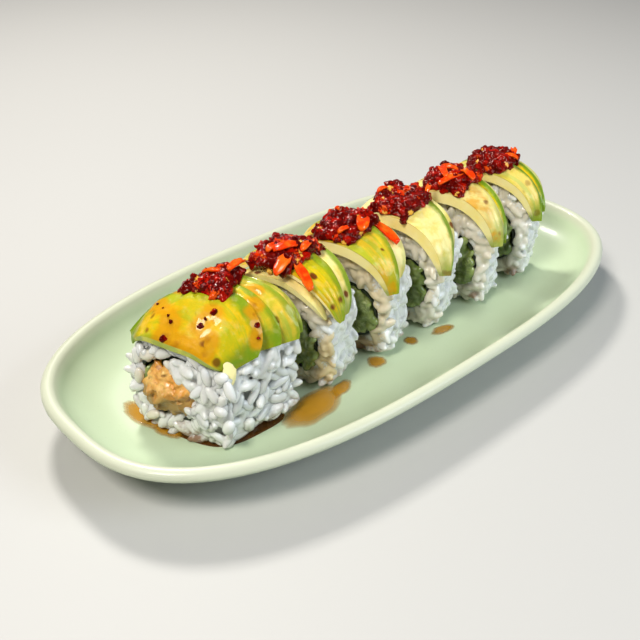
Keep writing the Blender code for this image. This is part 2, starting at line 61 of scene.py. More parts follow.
# Plate, with its foot on Z = 0 and its long side along X
PLATE_LENGTH = 240 * MM
PLATE_WIDTH = 120.2 * MM
PLATE_SQUARENESS = 2.75
RIM_TOP = 20 * MM
LIP_RADIUS = 2.3 * MM
FLOOR = 7.8 * MM
FLOOR_HALF_WIDTH = 37 * MM
FOOT_INNER = 31 * MM
FOOT_OUTER = 36 * MM
FOOT_RECESS = 1.8 * MM
WALL_START = 1.4 * MM
WALL_BEND = (53.5 * MM, 9.5 * MM)
WELL_END_SLOPE = math.radians(75)

# Roll
SECTION_POWER_TOP = 2.3
SECTION_POWER_BOTTOM = 3.2
SECTION_MIDDLE = 0.43
SECTION_SINK = 1.0 * MM
CORE_POWER = 2.3
CORE_ROLL_HEIGHT = 40 * MM
SLUMP_LENGTH = 15 * MM
WAIST_TOP = (0.68, 0.46)
WAIST_FOOT = (0.22, 0.04)
FOOT_FLARE = 0.6
CLEARANCE = 0.35 * MM
BACK_LEAN = 0.06
SEAWEED_THICKNESS = 0.6 * MM
SEAWEED_RECESS = 0.4 * MM

# Rice grains
GRAIN_SWING = 1.5
GRAIN_NOD = 0.6
COVERING_GRAINS = 22
CORE_SHRINK = 0.7 * MM
END_CORE_SHRINK = 1.7 * MM
CORE_PIT = 1.6 * MM
PIT_PITCH = 6 * MM
GRAIN_TAPER = 2.25
RELIEF = 1.0 * MM
RELIEF_PITCH = 7 * MM
CORNER_REACH = 3.2 * MM
CORNER_DROP = 1.3 * MM
GIANT_SHARE = 0.12
LOOSE_SHARE = 0.38
LOOSE_RISE = 0.35 * MM
SHOWN_RISE = 0.9 * MM
SITE_TRIES = 5600
END_SITE_TRIES = 9000

# Which way the end slice's slanting front faces
END_FACING = (-1, -0.36, 0)

# Fillings: middle and half sizes as shares of the core's, how proud the two ends stand, crags and their pitch
END_FRIED = (-0.05, (0.73, 0.77), (2.2, 0.5), 0.42, 4.0)
END_GREEN = (0.78, (0.10, 0.40), (0.4, 0.4), 0.1, 3)
CUT_GREEN = (-0.30, (0.57, 0.80), (0.6, 0.4), 0.12, 4)
CUT_FRIED = (0.59, (0.26, 0.61), (0.6, 0.6), 0.25, 3.5)
CRUST_BITS = 130
CRUST_SHARE = (0.74, 0.78)
CRUST_BULGE = 3.6
GREEN_LUMPS = 60
GREEN_LUMP_SIZE = (2.3, 1.8, 1.4)

# Avocado
AVOCADO_GAP = 0.7 * MM
AVOCADO_STACK_GAP = 0.8 * MM
AVOCADO_TIP_THICKNESS = 0.25
TIP_THINNING_POWER = 2.6
TIP_NARROWING = 0.96
BLUNT_TIP_NARROWING = 0.8
EDGE_BEND = 1.5

# The scrap that hangs from the first slice of avocado: along, start and end angle, half width and thickness.
TONGUE = (-13.4, 138, 161, 2.4, 0.45)

# Sauce on the end slice's avocado: along, angle, reach of the stain and half size of the bit of relish in it.
SAUCE_MARKS = [
    (-18.3, 88, 4.5, 1.3),
    (-14.6, 86, 3.6, 0.8),
    (-13.2, 81, 3.2, 0.6),
    (-12.9, 105, 3.6, 1.1),
    (-10.8, 104, 3.2, 0.7),
    (-8.3, 105, 4.0, 1.2),
    (-4.1, 71, 2.8, 0.9),
    (-9.6, 63, 3.6, 0.6),
    (-11.3, 72, 3.4, 0.5),
    (-18.5, 99, 4.6, 0),
    (-17.6, 110, 4.6, 0),
    (-16.5, 121, 4.4, 0),
    (-14.5, 116, 4.0, 0),
    (-2.0, 130, 3.2, 1.0),
    (-3.7, 138, 3.4, 0.6),
    (-0.8, 123, 3.4, 0),
    (3.0, 114, 3.0, 0),
    (8.5, 102, 2.6, 0),
]

# Relish
RELISH_MIDDLE_ANGLE = math.radians(87)
RELISH_HALF_ANGLE = math.radians(17)
RELISH_HEIGHT = 3.3 * MM
RELISH_RIM = 1.2 * MM
RELISH_STEPS = (18, 28)
RELISH_BODY_SINK = 0.9 * MM
SEED_EVERY = 17
END_RELISH_START = 11 * MM
END_RELISH_TURN = math.radians(14)

# Camera, as the photo was taken: millimetres from the plate's middle
CAMERA_PLACE = (-202.72, -200.09, 192.1)
CAMERA_RIGHT = (0.7346, -0.6785, 0.0)
CAMERA_UP = (0.3703, 0.4009, 0.8379)
CAMERA_FORWARD = (0.5686, 0.6155, -0.5457)
CAMERA_LENS = 50
CAMERA_SENSOR = 36


# Lights: place in metres, size and colour
LIGHTS = {
    "key": ((0.12, 0.48, 0.66), 0.14, (1.0, 0.97, 0.91)),
    "fill": ((0.30, -0.62, 0.42), 0.4, (0.80, 0.90, 1.0)),
    "side": ((-0.48, -0.12, 0.66), 0.22, (1.0, 0.97, 0.91)),
}
SURROUND = (0.92, 0.95, 1.0, 1)
STAGE_HALF_SIZE = 4.0
STAGE_DROP = 0.2 * MM


class Layer:
    """One slice of avocado: where it lies on the rice, and its colours.

    Front and back are shares of the cover's length at the near side, the crest and the far side, edges the
    share of its thickness that each keeps, and sides how many degrees above level its near and far tips are.
    The look holds how cream, how green at the back edge, how green at the tips and how stained it is, from 0
    to 1. An under slice is tucked under the next one, and the ridge is how high its scored waves stand.
    """

    def __init__(self, front, back, thick, edges, sides, look, is_under=False, ridge=0):
        self.front = front
        self.back = back
        self.thick = thick * MM
        self.edges = edges
        self.near = math.radians(180 - sides[0])
        self.far = math.radians(sides[1])
        self.is_under = is_under
        self.narrowing = TIP_NARROWING
        self.front_lift = 0.0
        self.back_lift = 0.0
        self.look = look
        self.ridge = ridge * MM


class Slice:
    """One cut piece of the roll, with its own size, place, turn, skew and lean on the plate.

    Its core is the hole through the rice: place across, height, half width and half height. Below the
    avocado the near side draws in by the waist, and the back cut by the tuck. The slump is how far the end
    slice sinks at its front, the overhang how far the avocado reaches past the rice, and tea how stained the
    front is.
    """

    def __init__(self, name, place, size, layers, yaw, lean, seed, **more):
        core = more.get("core", (0.5, 17.0, 12.3, 11.3))
        self.name = name
        self.length = size[0] * MM
        self.half_width = size[1] * MM / 2
        self.height = size[2] * MM
        self.layers = layers
        self.lean = lean
        self.seed = seed
        self.skew = more.get("skew", 0.0)
        self.slump = more.get("slump", 0.0) * MM
        self.overhang = more.get("overhang", 3.0) * MM
        self.tea = more.get("tea", 0.4)
        self.waist = more.get("waist", 3.0) * MM
        self.tuck = more.get("tuck", 3.0) * MM
        self.core_y, self.core_height, self.core_half_width, self.core_half_height = (x * MM for x in core)
        spot = Matrix.Translation(Vector((place[0] * MM, place[1] * MM, FLOOR)))
        self.stand = spot @ Matrix.Rotation(math.radians(yaw), 4, "Z")
        if self.slump:
            for layer in layers:
                layer.narrowing = BLUNT_TIP_NARROWING
        for layer, after in zip(layers, layers[1:]):
            if layer.is_under:
                after.front_lift = layer.thick + AVOCADO_STACK_GAP
            else:
                layer.back_lift = after.thick + AVOCADO_STACK_GAP

    @property
    def is_end(self):
        """True for the roll's thick end slice."""
        return self.slump > 0


# How much of its thickness an avocado slice keeps at a knife cut, at a free edge and at a tucked one.
CUT, FREE, TUCKED = 1.0, 0.6, 0.35

END_LAYERS = [
    Layer((-0.03, -0.08, -0.03), (0.45, 0.55, 0.12), 3.2, (FREE, FREE), (30, 38), (0.0, 0.9, 1.0, 0.2)),
    Layer((0.39, 0.49, 0.06), (0.66, 0.68, 0.62), 2.4, (TUCKED, FREE), (30, 30), (0.05, 0.8, 0.9, 0.2)),
    Layer((0.60, 0.62, 0.56), (0.88, 0.88, 0.88), 2.4, (TUCKED, FREE), (28, 26), (0.1, 0.7, 0.5, 0.35)),
    Layer((0.82, 0.82, 0.82), (1.0, 1.0, 1.0), 2.2, (TUCKED, CUT), (30, 28), (0.25, 0.5, 0.8, 0.1)),
]
STACKED_LAYERS = [
    Layer((0.0, -0.02, 0.0), (0.22, 0.26, 0.26), 2.2, (CUT, TUCKED), (31, 28), (0.7, 0.1, 0.2, 0.3), True),
    Layer((0.06, 0.1, 0.1), (0.42, 0.7, 0.66), 2.6, (FREE, FREE), (24, 26), (0, 0.6, 0.6, 0.4), False, 0.45),
    Layer((0.35, 0.63, 0.59), (0.72, 1.0, 1.0), 2.6, (TUCKED, CUT), (22, 28), (0.65, 0.9, 0.7, 0.35)),
]
WIDE_LAYERS = [
    Layer((-0.02, 0.0, 0.04), (0.16, 0.66, 0.66), 4.2, (CUT, FREE), (26, 26), (0.05, 0.7, 0.7, 0.6)),
    Layer((0.09, 0.59, 0.59), (0.78, 1.0, 1.0), 2.7, (TUCKED, CUT), (30, 28), (1.0, 0.35, 0.2, 0.25)),
]
EVEN_LAYERS = [
    Layer((-0.14, 0.0, 0.04), (0.12, 0.72, 0.74), 4.8, (CUT, FREE), (21, 28), (0.75, 0.95, 0.8, 0.1)),
    Layer((0.05, 0.65, 0.67), (0.60, 1.0, 1.0), 2.6, (TUCKED, CUT), (26, 26), (0.85, 0.3, 0.3, 0.5)),
]
TRIPLE_LAYERS = [
    Layer((-0.04, 0.0, 0.04), (0.24, 0.55, 0.52), 4.6, (CUT, FREE), (21, 27), (0.6, 0.2, 0.7, 1.0)),
    Layer((0.17, 0.48, 0.45), (0.42, 0.85, 0.8), 2.4, (TUCKED, FREE), (20, 25), (0.0, 1.0, 1.0, 0.05)),
    Layer((0.35, 0.78, 0.73), (0.72, 1.0, 1.0), 2.4, (TUCKED, CUT), (22, 28), (0.85, 0.5, 0.5, 0.1)),
]
LAST_LAYERS = [
    Layer((0.04, 0.0, 0.05), (0.30, 0.50, 0.48), 3.8, (CUT, FREE), (21, 27), (0.3, 1.0, 0.9, 0.05)),
    Layer((0.23, 0.43, 0.41), (0.56, 0.76, 0.74), 2.4, (TUCKED, FREE), (24, 26), (0.0, 1.0, 1.0, 0.1)),
    Layer((0.49, 0.69, 0.67), (0.90, 1.0, 1.0), 2.4, (TUCKED, CUT), (28, 29), (0.7, 0.5, 0.4, 0.6)),
]

SLICES = [
    Slice(
        "slice1", (-73.3, -12.0), (31, 34.8, 40.0), END_LAYERS, -2, 0.10, 11,
        skew=-0.36, slump=5, overhang=0.8, waist=2.0, tuck=1.5, core=(2.5, 19.0, 12.9, 12.4), tea=0.0,
    ),
    Slice(
        "slice2", (-34.0, -9.5), (19.5, 39.0, 41.0), STACKED_LAYERS, 17, -0.10, 12,
        waist=1.5, tuck=1.5, tea=0.85,
    ),
    Slice("slice3", (-6.0, -9.0), (19.5, 39.0, 40.3), WIDE_LAYERS, 18, -0.09, 13, waist=2.6, tea=0.7),
    Slice("slice4", (20.5, -8.8), (19.5, 39.0, 40.0), EVEN_LAYERS, 18, -0.06, 14),
    Slice("slice5", (46.5, -9.5), (19.5, 39.0, 40.4), TRIPLE_LAYERS, 18, -0.03, 15, overhang=2.2),
    Slice("slice6", (74.0, -7.5), (19.5, 38.6, 39.7), LAST_LAYERS, 16, -0.02, 16, overhang=1.2),
]

# From where to where along the plate the sauce has soaked less and less into the rice.
SOAKED_END = (-40 * MM, 0.0)

# How far the dark sheet reaches out from under the end slice.
FILM_REACH = 0.5 * MM

# Sauce on the plate: middle, half sizes and turn of each blot, in millimetres and degrees.
SAUCE_BLOTS = [
    (-91.5, 4.5, 4.5, 10.5, 12),
    (-90.0, -7.0, 3.2, 6, 18),
    (-48.5, -29.5, 13.5, 7.2, 12),
    (-34.5, -28.5, 6, 2.6, 18),
    (-14.5, -25.8, 3.9, 3.5, 0),
    (4.2, -25.2, 3.0, 2.7, 10),
    (18.5, -28.2, 5.4, 2.6, -5),
]

# Large grains that stand out on the end slice's front: across, up, length, width and turn in mm and degrees.
SHOWN_GRAINS = [
    (-7, 19.5, 12.5, 4.2, -46),
    (2, 25.5, 6.5, 3.0, -10),
    (-10, 26, 7, 3.4, -75),
    (-15, 27.5, 5.4, 4.0, 30),
    (-18, 24, 7.5, 3.5, -70),
    (-12, 20.5, 6.5, 3.8, -50),
    (-15, 15.5, 4.8, 3.8, 0),
    (-18, 11, 6, 4.0, 60),
    (11, 26.5, 7, 3.6, 20),
    (14, 18, 6, 3.6, 80),
    (9, 5, 6, 3.4, 30),
    (-9, 14, 5.5, 3.4, -30),
]

# Pepper flakes that stand out in the photo: slice, along, angle, turn, length and width in mm and degrees.
SHOWN_FLAKES = [
    ("slice1", 11.0, 84, 20, 8, 2.8),
    ("slice2", -9.5, 112, 60, 11, 3.4),
    ("slice2", -11.0, 98, 10, 10, 3.8),
    ("slice2", -4.0, 92, -35, 8, 3.2),
    ("slice3", 6.5, 112, 80, 11, 3.6),
    ("slice3", -3.0, 100, 25, 7, 4.4),
    ("slice5", -8.0, 92, -20, 13, 2.4),
    ("slice5", -4.0, 84, 35, 11, 2.6),
    ("slice5", -2.0, 99, 60, 7, 3.0),
]


def signed_power(value, power):
    """A power that keeps the sign of what it is given."""
    return math.copysign(abs(value) ** power, value)


def smooth(low, high, value):
    """A smooth step from 0 at low to 1 at high; low may be the greater."""
    share = min(1.0, max(0.0, (value - low) / (high - low)))
    return share * share * (3 - 2 * share)


def spun(profile, steps, closed):
    """A profile of (along, radius) pairs turned all the way round X."""
    bm = bmesh.new()
    verts = [bm.verts.new((along, 0, radius)) for along, radius in profile]
    pairs = list(zip(verts, verts[1:]))
    if closed:
        pairs.append((verts[-1], verts[0]))
    edges = [bm.edges.new(pair) for pair in pairs]
    bmesh.ops.spin(
        bm,
        geom=verts + edges,
        cent=(0, 0, 0),
        axis=(1, 0, 0),
        dvec=(0, 0, 0),
        angle=2 * math.pi,
        steps=steps,
        use_merge=True,
    )
    bmesh.ops.remove_doubles(bm, verts=bm.verts, dist=1e-7)
    return bm


def rice_height(piece, along):
    """The rice's height at a place along the slice; the roll's end slumps down towards its front."""
    from_front = along + piece.length / 2
    drop = max(0.0, 1 - from_front / SLUMP_LENGTH)
    return piece.height - piece.slump * drop * drop


def outline(piece, along, angle):
    """A point on the rice's outside: (across, up) at an angle that is 90 degrees at the crest."""
    height = rice_height(piece, along)
    middle = height * SECTION_MIDDLE
    power = SECTION_POWER_TOP if math.sin(angle) > 0 else SECTION_POWER_BOTTOM
    reach = height - middle if math.sin(angle) > 0 else middle + SECTION_SINK
    up = middle + reach * signed_power(math.sin(angle), 2 / power)
    half_width = piece.half_width
    if math.cos(angle) < 0:
        flare = 1 - FOOT_FLARE * smooth(*WAIST_FOOT, up / height)
        half_width -= piece.waist * smooth(*WAIST_TOP, up / height) * flare
    across = half_width * signed_power(math.cos(angle), 2 / power)
    return Vector((across + BACK_LEAN * up, max(up, CLEARANCE)))


def settled(piece, along, across, up):
    """The slice's skew, lean and tuck applied to a point of the straight roll."""
    along -= piece.tuck * (along / piece.length + 0.5) * smooth(*WAIST_TOP, up / piece.height)
    return Vector((along + piece.skew * across + piece.lean * up, across, up))


def lifted(piece, along, angle, offset):
    """The point at this offset outside the rice, in the slice's own frame."""
    step = 0.01
    here = outline(piece, along, angle)
    ahead, behind = outline(piece, along, angle + step), outline(piece, along, angle - step)
    tangent = (ahead - behind).normalized()
    return settled(piece, along, here.x + tangent.y * offset, here.y - tangent.x * offset)


def core_point(piece, along, angle, shrink=0.0, share=(1.0, 1.0), centre=0.0):
    """A point on an oval section in the roll's core, squashed as much as the rice is there: (across, up).

    The share is of the core's half width and half height, and the centre is in half widths.
    """
    squash = rice_height(piece, along) / CORE_ROLL_HEIGHT
    half_width = piece.core_half_width * share[0] - shrink
    half_height = piece.core_half_height * share[1] - shrink
    middle = piece.core_y + piece.core_half_width * centre
    across = middle + half_width * signed_power(math.cos(angle), 2 / CORE_POWER)
    up = piece.core_height + half_height * signed_power(math.sin(angle), 2 / CORE_POWER)
    return Vector((across, up * squash))


def tapered(shares, place):
    """A value given at the near side (-1), the crest (0) and the far side (1), in between."""
    near, crest, far = shares
    side = far if place > 0 else near
    return crest + (side - crest) * abs(place) ** EDGE_BEND


def layer_edges(piece, layer, place):
    """Where one avocado slice starts and ends along the roll; it narrows to a rounded tip on both sides."""
    cover = piece.length + 2 * piece.overhang
    front = -cover / 2 + cover * tapered(layer.front, place)
    back = -cover / 2 + cover * tapered(layer.back, place)
    narrowing = 0.5 * (back - front) * (1 - math.sqrt(1 - layer.narrowing * place**4))
    return front + narrowing, back - narrowing


def layer_offsets(layer, share, place):
    """The inner and outer offset of an avocado slice from the rice, at a share of its width."""
    inner = AVOCADO_GAP + layer.front_lift * (1 - share) ** 1.2 + layer.back_lift * share**1.2
    edge = layer.edges[0] if share < 0.5 else layer.edges[1]
    rounding = edge + (1 - edge) * (1 - abs(2 * share - 1) ** 2.5)
    tip = AVOCADO_TIP_THICKNESS + (1 - AVOCADO_TIP_THICKNESS) * (1 - abs(place) ** TIP_THINNING_POWER)
    return inner, inner + layer.thick * rounding * tip


def cover_top(piece, along, angle):
    """How far the avocado stands out from the rice at this place."""
    top = AVOCADO_GAP
    for layer in piece.layers:
        place = 2 * (angle - layer.near) / (layer.far - layer.near) - 1
        if abs(place) > 1:
            continue
        front, back = layer_edges(piece, layer, place)
        share = (along - front) / (back - front)
        if -0.12 < share < 1.12:
            top = max(top, layer_offsets(layer, min(1, max(0, share)), place)[1])
    return top


def mark_at(piece, along, angle):
    """How deep in a sauce stain this place on the end slice is: 1 in the middle, 0 and less outside."""
    if not piece.is_end:
        return -1.0
    gaps = []
    for mark_along, mark_angle, reach, _ in SAUCE_MARKS:
        across = (math.radians(mark_angle) - angle) * piece.half_width / MM
        gaps.append(1 - math.hypot(along / MM - mark_along, across) / reach)
    return max(-1.0, *gaps)


def is_covered(piece, along, angle, margin):
    """True where avocado lies over the rice, or within the margin of it."""
    for layer in piece.layers:
        turn = margin / piece.half_width
        if not layer.far - turn < angle < layer.near + turn:
            continue
        place = max(-1.0, min(1.0, 2 * (angle - layer.near) / (layer.far - layer.near) - 1))
        front, back = layer_edges(piece, layer, place)
        if front - margin < along < back + margin:
            return True
    return False


def finish_piece(name, bm, look, stand, nodes, is_sharp=True):
    """Turns a finished bmesh into a smooth-shaded object that rides on the plate and replaces its nodes."""
    if stand is not None:
        bmesh.ops.transform(bm, matrix=stand, verts=bm.verts)
    bmesh.ops.recalc_face_normals(bm, faces=bm.faces)
    if bm.calc_volume(signed=True) < 0:
        bmesh.ops.reverse_faces(bm, faces=bm.faces)
    mesh = bpy.data.meshes.new(name)
    bm.to_mesh(mesh)
    bm.free()
    mesh.shade_smooth()
    if is_sharp:
        mesh.set_sharp_from_angle(angle=SHARP_ANGLE)
    mesh.materials.append(look)
    made = bpy.data.objects.new(name, mesh)
    bpy.context.scene.collection.objects.link(made)
    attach(made, "root")
    if nodes:
        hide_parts(*nodes)
    return made


def add_many(bm, makers):
    """Makes small shapes a few at a time in a mesh of their own, then adds them: quicker than in one mesh."""
    for start in range(0, len(makers), BATCH):
        batch = bmesh.new()
        layer = batch.verts.layers.float_vector.new("grain")
        for make in makers[start : start + BATCH]:
            make(batch, layer)
        mesh = bpy.data.meshes.new("batch")
        batch.to_mesh(mesh)
        batch.free()
        bm.from_mesh(mesh)
        bpy.data.meshes.remove(mesh)


def add_separate(name, makers, look, piece, node):
    """Small shapes that stay apart, as one piece that rides on the plate and replaces this node."""
    bm = bmesh.new()
    bm.verts.layers.float_vector.new("grain")
    add_many(bm, makers)
    finish_piece(name, bm, look, piece.stand, [node], False)


def thick_grid(x_segments, y_segments):
    """A grid given a second side: its upper verts have Z = 1, the lower ones Z = 0."""
    bm = bmesh.new()
    bmesh.ops.create_grid(bm, x_segments=x_segments, y_segments=y_segments, size=1)
    raised = bmesh.ops.extrude_face_region(bm, geom=bm.faces[:], use_keep_orig=True)
    for vert in (v for v in raised["geom"] if isinstance(v, bmesh.types.BMVert)):
        vert.co.z = 1
    return bm


def melt(made, voxel, rounds):
    """Melts an object's grains together where they touch, and hands each grain's tint on to the new skin."""
    source = made.data
    tints = [value.vector.copy() for value in source.attributes["grain"].data]
    tree = KDTree(len(source.vertices))
    for vert in source.vertices:
        tree.insert(vert.co, vert.index)
    tree.balance()
    remesh = made.modifiers.new("melt", "REMESH")
    remesh.mode = "VOXEL"
    remesh.voxel_size = voxel
    soften = made.modifiers.new("soften", "SMOOTH")
    soften.factor = 0.5
    soften.iterations = rounds
    evaluated = made.evaluated_get(bpy.context.evaluated_depsgraph_get())
    mesh = bpy.data.meshes.new_from_object(evaluated)
    made.modifiers.clear()
    tint = mesh.attributes.new("grain", "FLOAT_VECTOR", "POINT")
    for vert in mesh.vertices:
        tint.data[vert.index].vector = tints[tree.find(vert.co)[1]]
    mesh.materials.clear()
    mesh.materials.append(source.materials[0])
    mesh.shade_smooth()
    mesh.name = source.name
    made.data = mesh
    bpy.data.meshes.remove(source)


def facing(normal, towards):
    """A turn that takes Z to a normal and X as near as it can to a direction."""
    side = normal.cross(towards).normalized()
    return Matrix((side.cross(normal), side, normal)).transposed()


def scaled(colour, share):
    """A colour made this many times as bright."""
    return tuple(part * share for part in colour)


class Shader:
    """A material under construction: short ways to add and link its nodes."""

    def __init__(self, name, **values):
        self.material = bpy.data.materials.new(name)
        self.material.use_nodes = True
        self.tree = self.material.node_tree
        self.out = self.tree.nodes["Principled BSDF"]
        self.coords = self.tree.nodes.new("ShaderNodeTexCoord").outputs["Object"]
        for key, value in values.items():
            self.out.inputs[key.replace("_", " ")].default_value = value

    def node(self, kind, **inputs):
        """A new node whose inputs are linked to sockets or set to values."""
        made = self.tree.nodes.new(kind)
        for key, value in inputs.items():
            self.feed(made.inputs[key], value)
        return made

    def feed(self, socket, value):
        """Links a socket, or sets its value."""
        if isinstance(value, bpy.types.NodeSocket):
            self.tree.links.new(value, socket)
        elif isinstance(value, (int, float)):
            socket.default_value = value
        else:
            is_colour = len(value) == 3 and len(socket.default_value) == 4
            socket.default_value = (*value, 1) if is_colour else tuple(value)

    def noise(self, scale, detail=3.0, roughness=0.55, distortion=0.0, vector=None):
        """Noise over the object, or over other coordinates, from 0 to 1."""
        made = self.node("ShaderNodeTexNoise", Vector=vector or self.coords, Scale=scale, Detail=detail)
        made.inputs["Roughness"].default_value = roughness
        made.inputs["Distortion"].default_value = distortion
        return made.outputs["Fac"]

    def spots(self, scale):
        """Distance to the nearest of scattered points."""
        made = self.node("ShaderNodeTexVoronoi", Vector=self.coords, Scale=scale, Randomness=1.0)
        return made.outputs["Distance"]

    def ramp(self, value, low, high, start=0.0, end=1.0):
        """A value mapped from low..high to start..end, smoothly and clamped."""
        made = self.node("ShaderNodeMapRange", Value=value)
        made.interpolation_type = "SMOOTHSTEP"
        made.inputs["From Min"].default_value = low
        made.inputs["From Max"].default_value = high
        made.inputs["To Min"].default_value = start
        made.inputs["To Max"].default_value = end
        return made.outputs["Result"]

    def maths(self, operation, first, second=0.0):
        """One sum on two values."""
        made = self.tree.nodes.new("ShaderNodeMath")
        made.operation = operation
        self.feed(made.inputs[0], first)
        self.feed(made.inputs[1], second)
        return made.outputs[0]

    def times(self, first, second):
        """Two values multiplied."""
        return self.maths("MULTIPLY", first, second)

    def plus(self, first, second):
        """Two values added."""
        return self.maths("ADD", first, second)

    def subsurface(self, weight, radius, scale):
        """Lets light into the material: how much, how far for each colour, and the scale."""
        self.out.inputs["Subsurface Weight"].default_value = weight
        self.out.inputs["Subsurface Radius"].default_value = radius
        self.out.inputs["Subsurface Scale"].default_value = scale

    def specular(self, level, tint=(1.0, 1.0, 1.0)):
        """How strong the shine is, and its tint."""
        self.out.inputs["Specular IOR Level"].default_value = level
        self.out.inputs["Specular Tint"].default_value = (*tint, 1)

    def along(self, axis):
        """Where a point is along X, Y or Z, in metres."""
        return self.node("ShaderNodeSeparateXYZ", Vector=self.coords).outputs[axis]

    def mix(self, share, first, second):
        """Two colours mixed."""
        made = self.tree.nodes.new("ShaderNodeMix")
        made.data_type = "RGBA"
        self.feed(made.inputs["Factor"], share)
        self.feed(made.inputs[6], first)
        self.feed(made.inputs[7], second)
        return made.outputs[2]

    def attribute(self, name):
        """The X, Y and Z of a mesh attribute."""
        made = self.tree.nodes.new("ShaderNodeAttribute")
        made.attribute_name = name
        parts = self.node("ShaderNodeSeparateXYZ", Vector=made.outputs["Vector"])
        return parts.outputs["X"], parts.outputs["Y"], parts.outputs["Z"]

    def bump(self, value, strength, distance):
        """Feeds fine relief to the shader."""
        made = self.node("ShaderNodeBump", Height=value, Strength=strength, Distance=distance)
        self.tree.links.new(made.outputs["Normal"], self.out.inputs["Normal"])

    def colour(self, value):
        """Sets the base colour."""
        self.feed(self.out.inputs["Base Color"], value)
        return self.material


def glaze_material(settings):
    """Pale celadon glaze: greener where it is thick in the well, creamy where it thins on the lip."""
    made = Shader("glaze", Roughness=0.36, IOR=1.45, Coat_Weight=0.1, Coat_Roughness=0.06)
    made.specular(0.35)
    height = made.along("Z")
    on_lip = made.ramp(height, RIM_TOP - 4.5 * MM, RIM_TOP - 0.5 * MM)
    cloud = made.ramp(made.noise(14, 4), 0.3, 0.7)
    body = made.mix(cloud, settings.glaze, scaled(settings.glaze, 1.1))
    speckle = made.ramp(made.spots(420), 0.0, 0.16, 0.35, 0.0)
    body = made.mix(speckle, body, scaled(settings.glaze, 0.75))
    made.bump(made.noise(60, 2), 0.04, 0.4 * MM)
    return made.colour(made.mix(on_lip, body, settings.lip))


def rice_material(settings):
    """Moist, slightly clear grains, with brown sauce low down and in places."""
    made = Shader("rice", Roughness=0.24, IOR=1.4, Coat_Weight=0.35, Coat_Roughness=0.08)
    made.subsurface(0.6, (1.0, 0.95, 0.9), 2.0 * MM)
    tint, clear, tea = made.attribute("grain")
    body = made.mix(tint, settings.rice, scaled(settings.rice, 0.86))
    body = made.mix(made.times(clear, 0.35), body, (0.66, 0.64, 0.56))
    body = made.mix(made.times(tea, made.ramp(made.noise(80, 3), 0.3, 0.6, 0.4, 1.0)), body, settings.tea)
    patch = made.ramp(made.noise(95, 4, 0.6), 0.52, 0.64)
    low = made.ramp(made.along("Z"), FLOOR + 1 * MM, FLOOR + 10 * MM, 0.9, 0.1)
    soaked = made.ramp(made.along("X"), SOAKED_END[0], SOAKED_END[1], 0.30, 0.0)
    patch = made.maths("MINIMUM", made.plus(patch, made.times(soaked, low)), 1.0)
    stained = made.times(patch, low)
    body = made.mix(stained, body, settings.stain)
    dots = made.ramp(made.spots(230), 0.05, 0.11, 0.8, 0.0)
    rare = made.ramp(made.noise(120, 2), 0.60, 0.66)
    body = made.mix(made.times(dots, rare), body, (0.10, 0.03, 0.008))
    return made.colour(body)


def seaweed_material():
    """Dark green-black sheet, a little shiny and uneven."""
    made = Shader("seaweed", Roughness=0.35)
    grain = made.noise(260, 4)
    made.bump(grain, 0.4, 0.3 * MM)
    return made.colour(made.mix(grain, (0.006, 0.009, 0.005), (0.03, 0.045, 0.02)))


def fried_material(settings):
    """Golden crumb with darker and paler patches."""
    made = Shader("fried", Roughness=0.4, Coat_Weight=0.45, Coat_Roughness=0.12)
    made.subsurface(0.15, (1.0, 0.5, 0.2), 1.5 * MM)
    patch = made.ramp(made.noise(150, 5, 0.6), 0.35, 0.65)
    body = made.mix(patch, settings.crust, settings.crumb)
    low = made.ramp(made.along("Z"), FLOOR + 11 * MM, FLOOR + 20 * MM)
    body = made.mix(low, (0.33, 0.19, 0.04), body)
    brown = made.ramp(made.noise(420, 3), 0.58, 0.7, 0.0, 0.6)
    made.bump(made.noise(520, 5, 0.65), 0.6, 0.7 * MM)
    return made.colour(made.mix(brown, body, (0.22, 0.07, 0.015)))


def green_material(settings):
    """Soft green filling, clearer and paler in the middle of each lump."""
    made = Shader("green", Roughness=0.2, Coat_Weight=0.6, Coat_Roughness=0.08)
    made.subsurface(0.3, (0.6, 1.0, 0.3), 1.5 * MM)
    tint, _, _ = made.attribute("grain")
    patch = made.ramp(made.noise(160, 4), 0.35, 0.7)
    body = made.mix(patch, settings.green, settings.green_pale)
    return made.colour(made.mix(made.times(tint, 0.6), body, (0.05, 0.08, 0.015)))


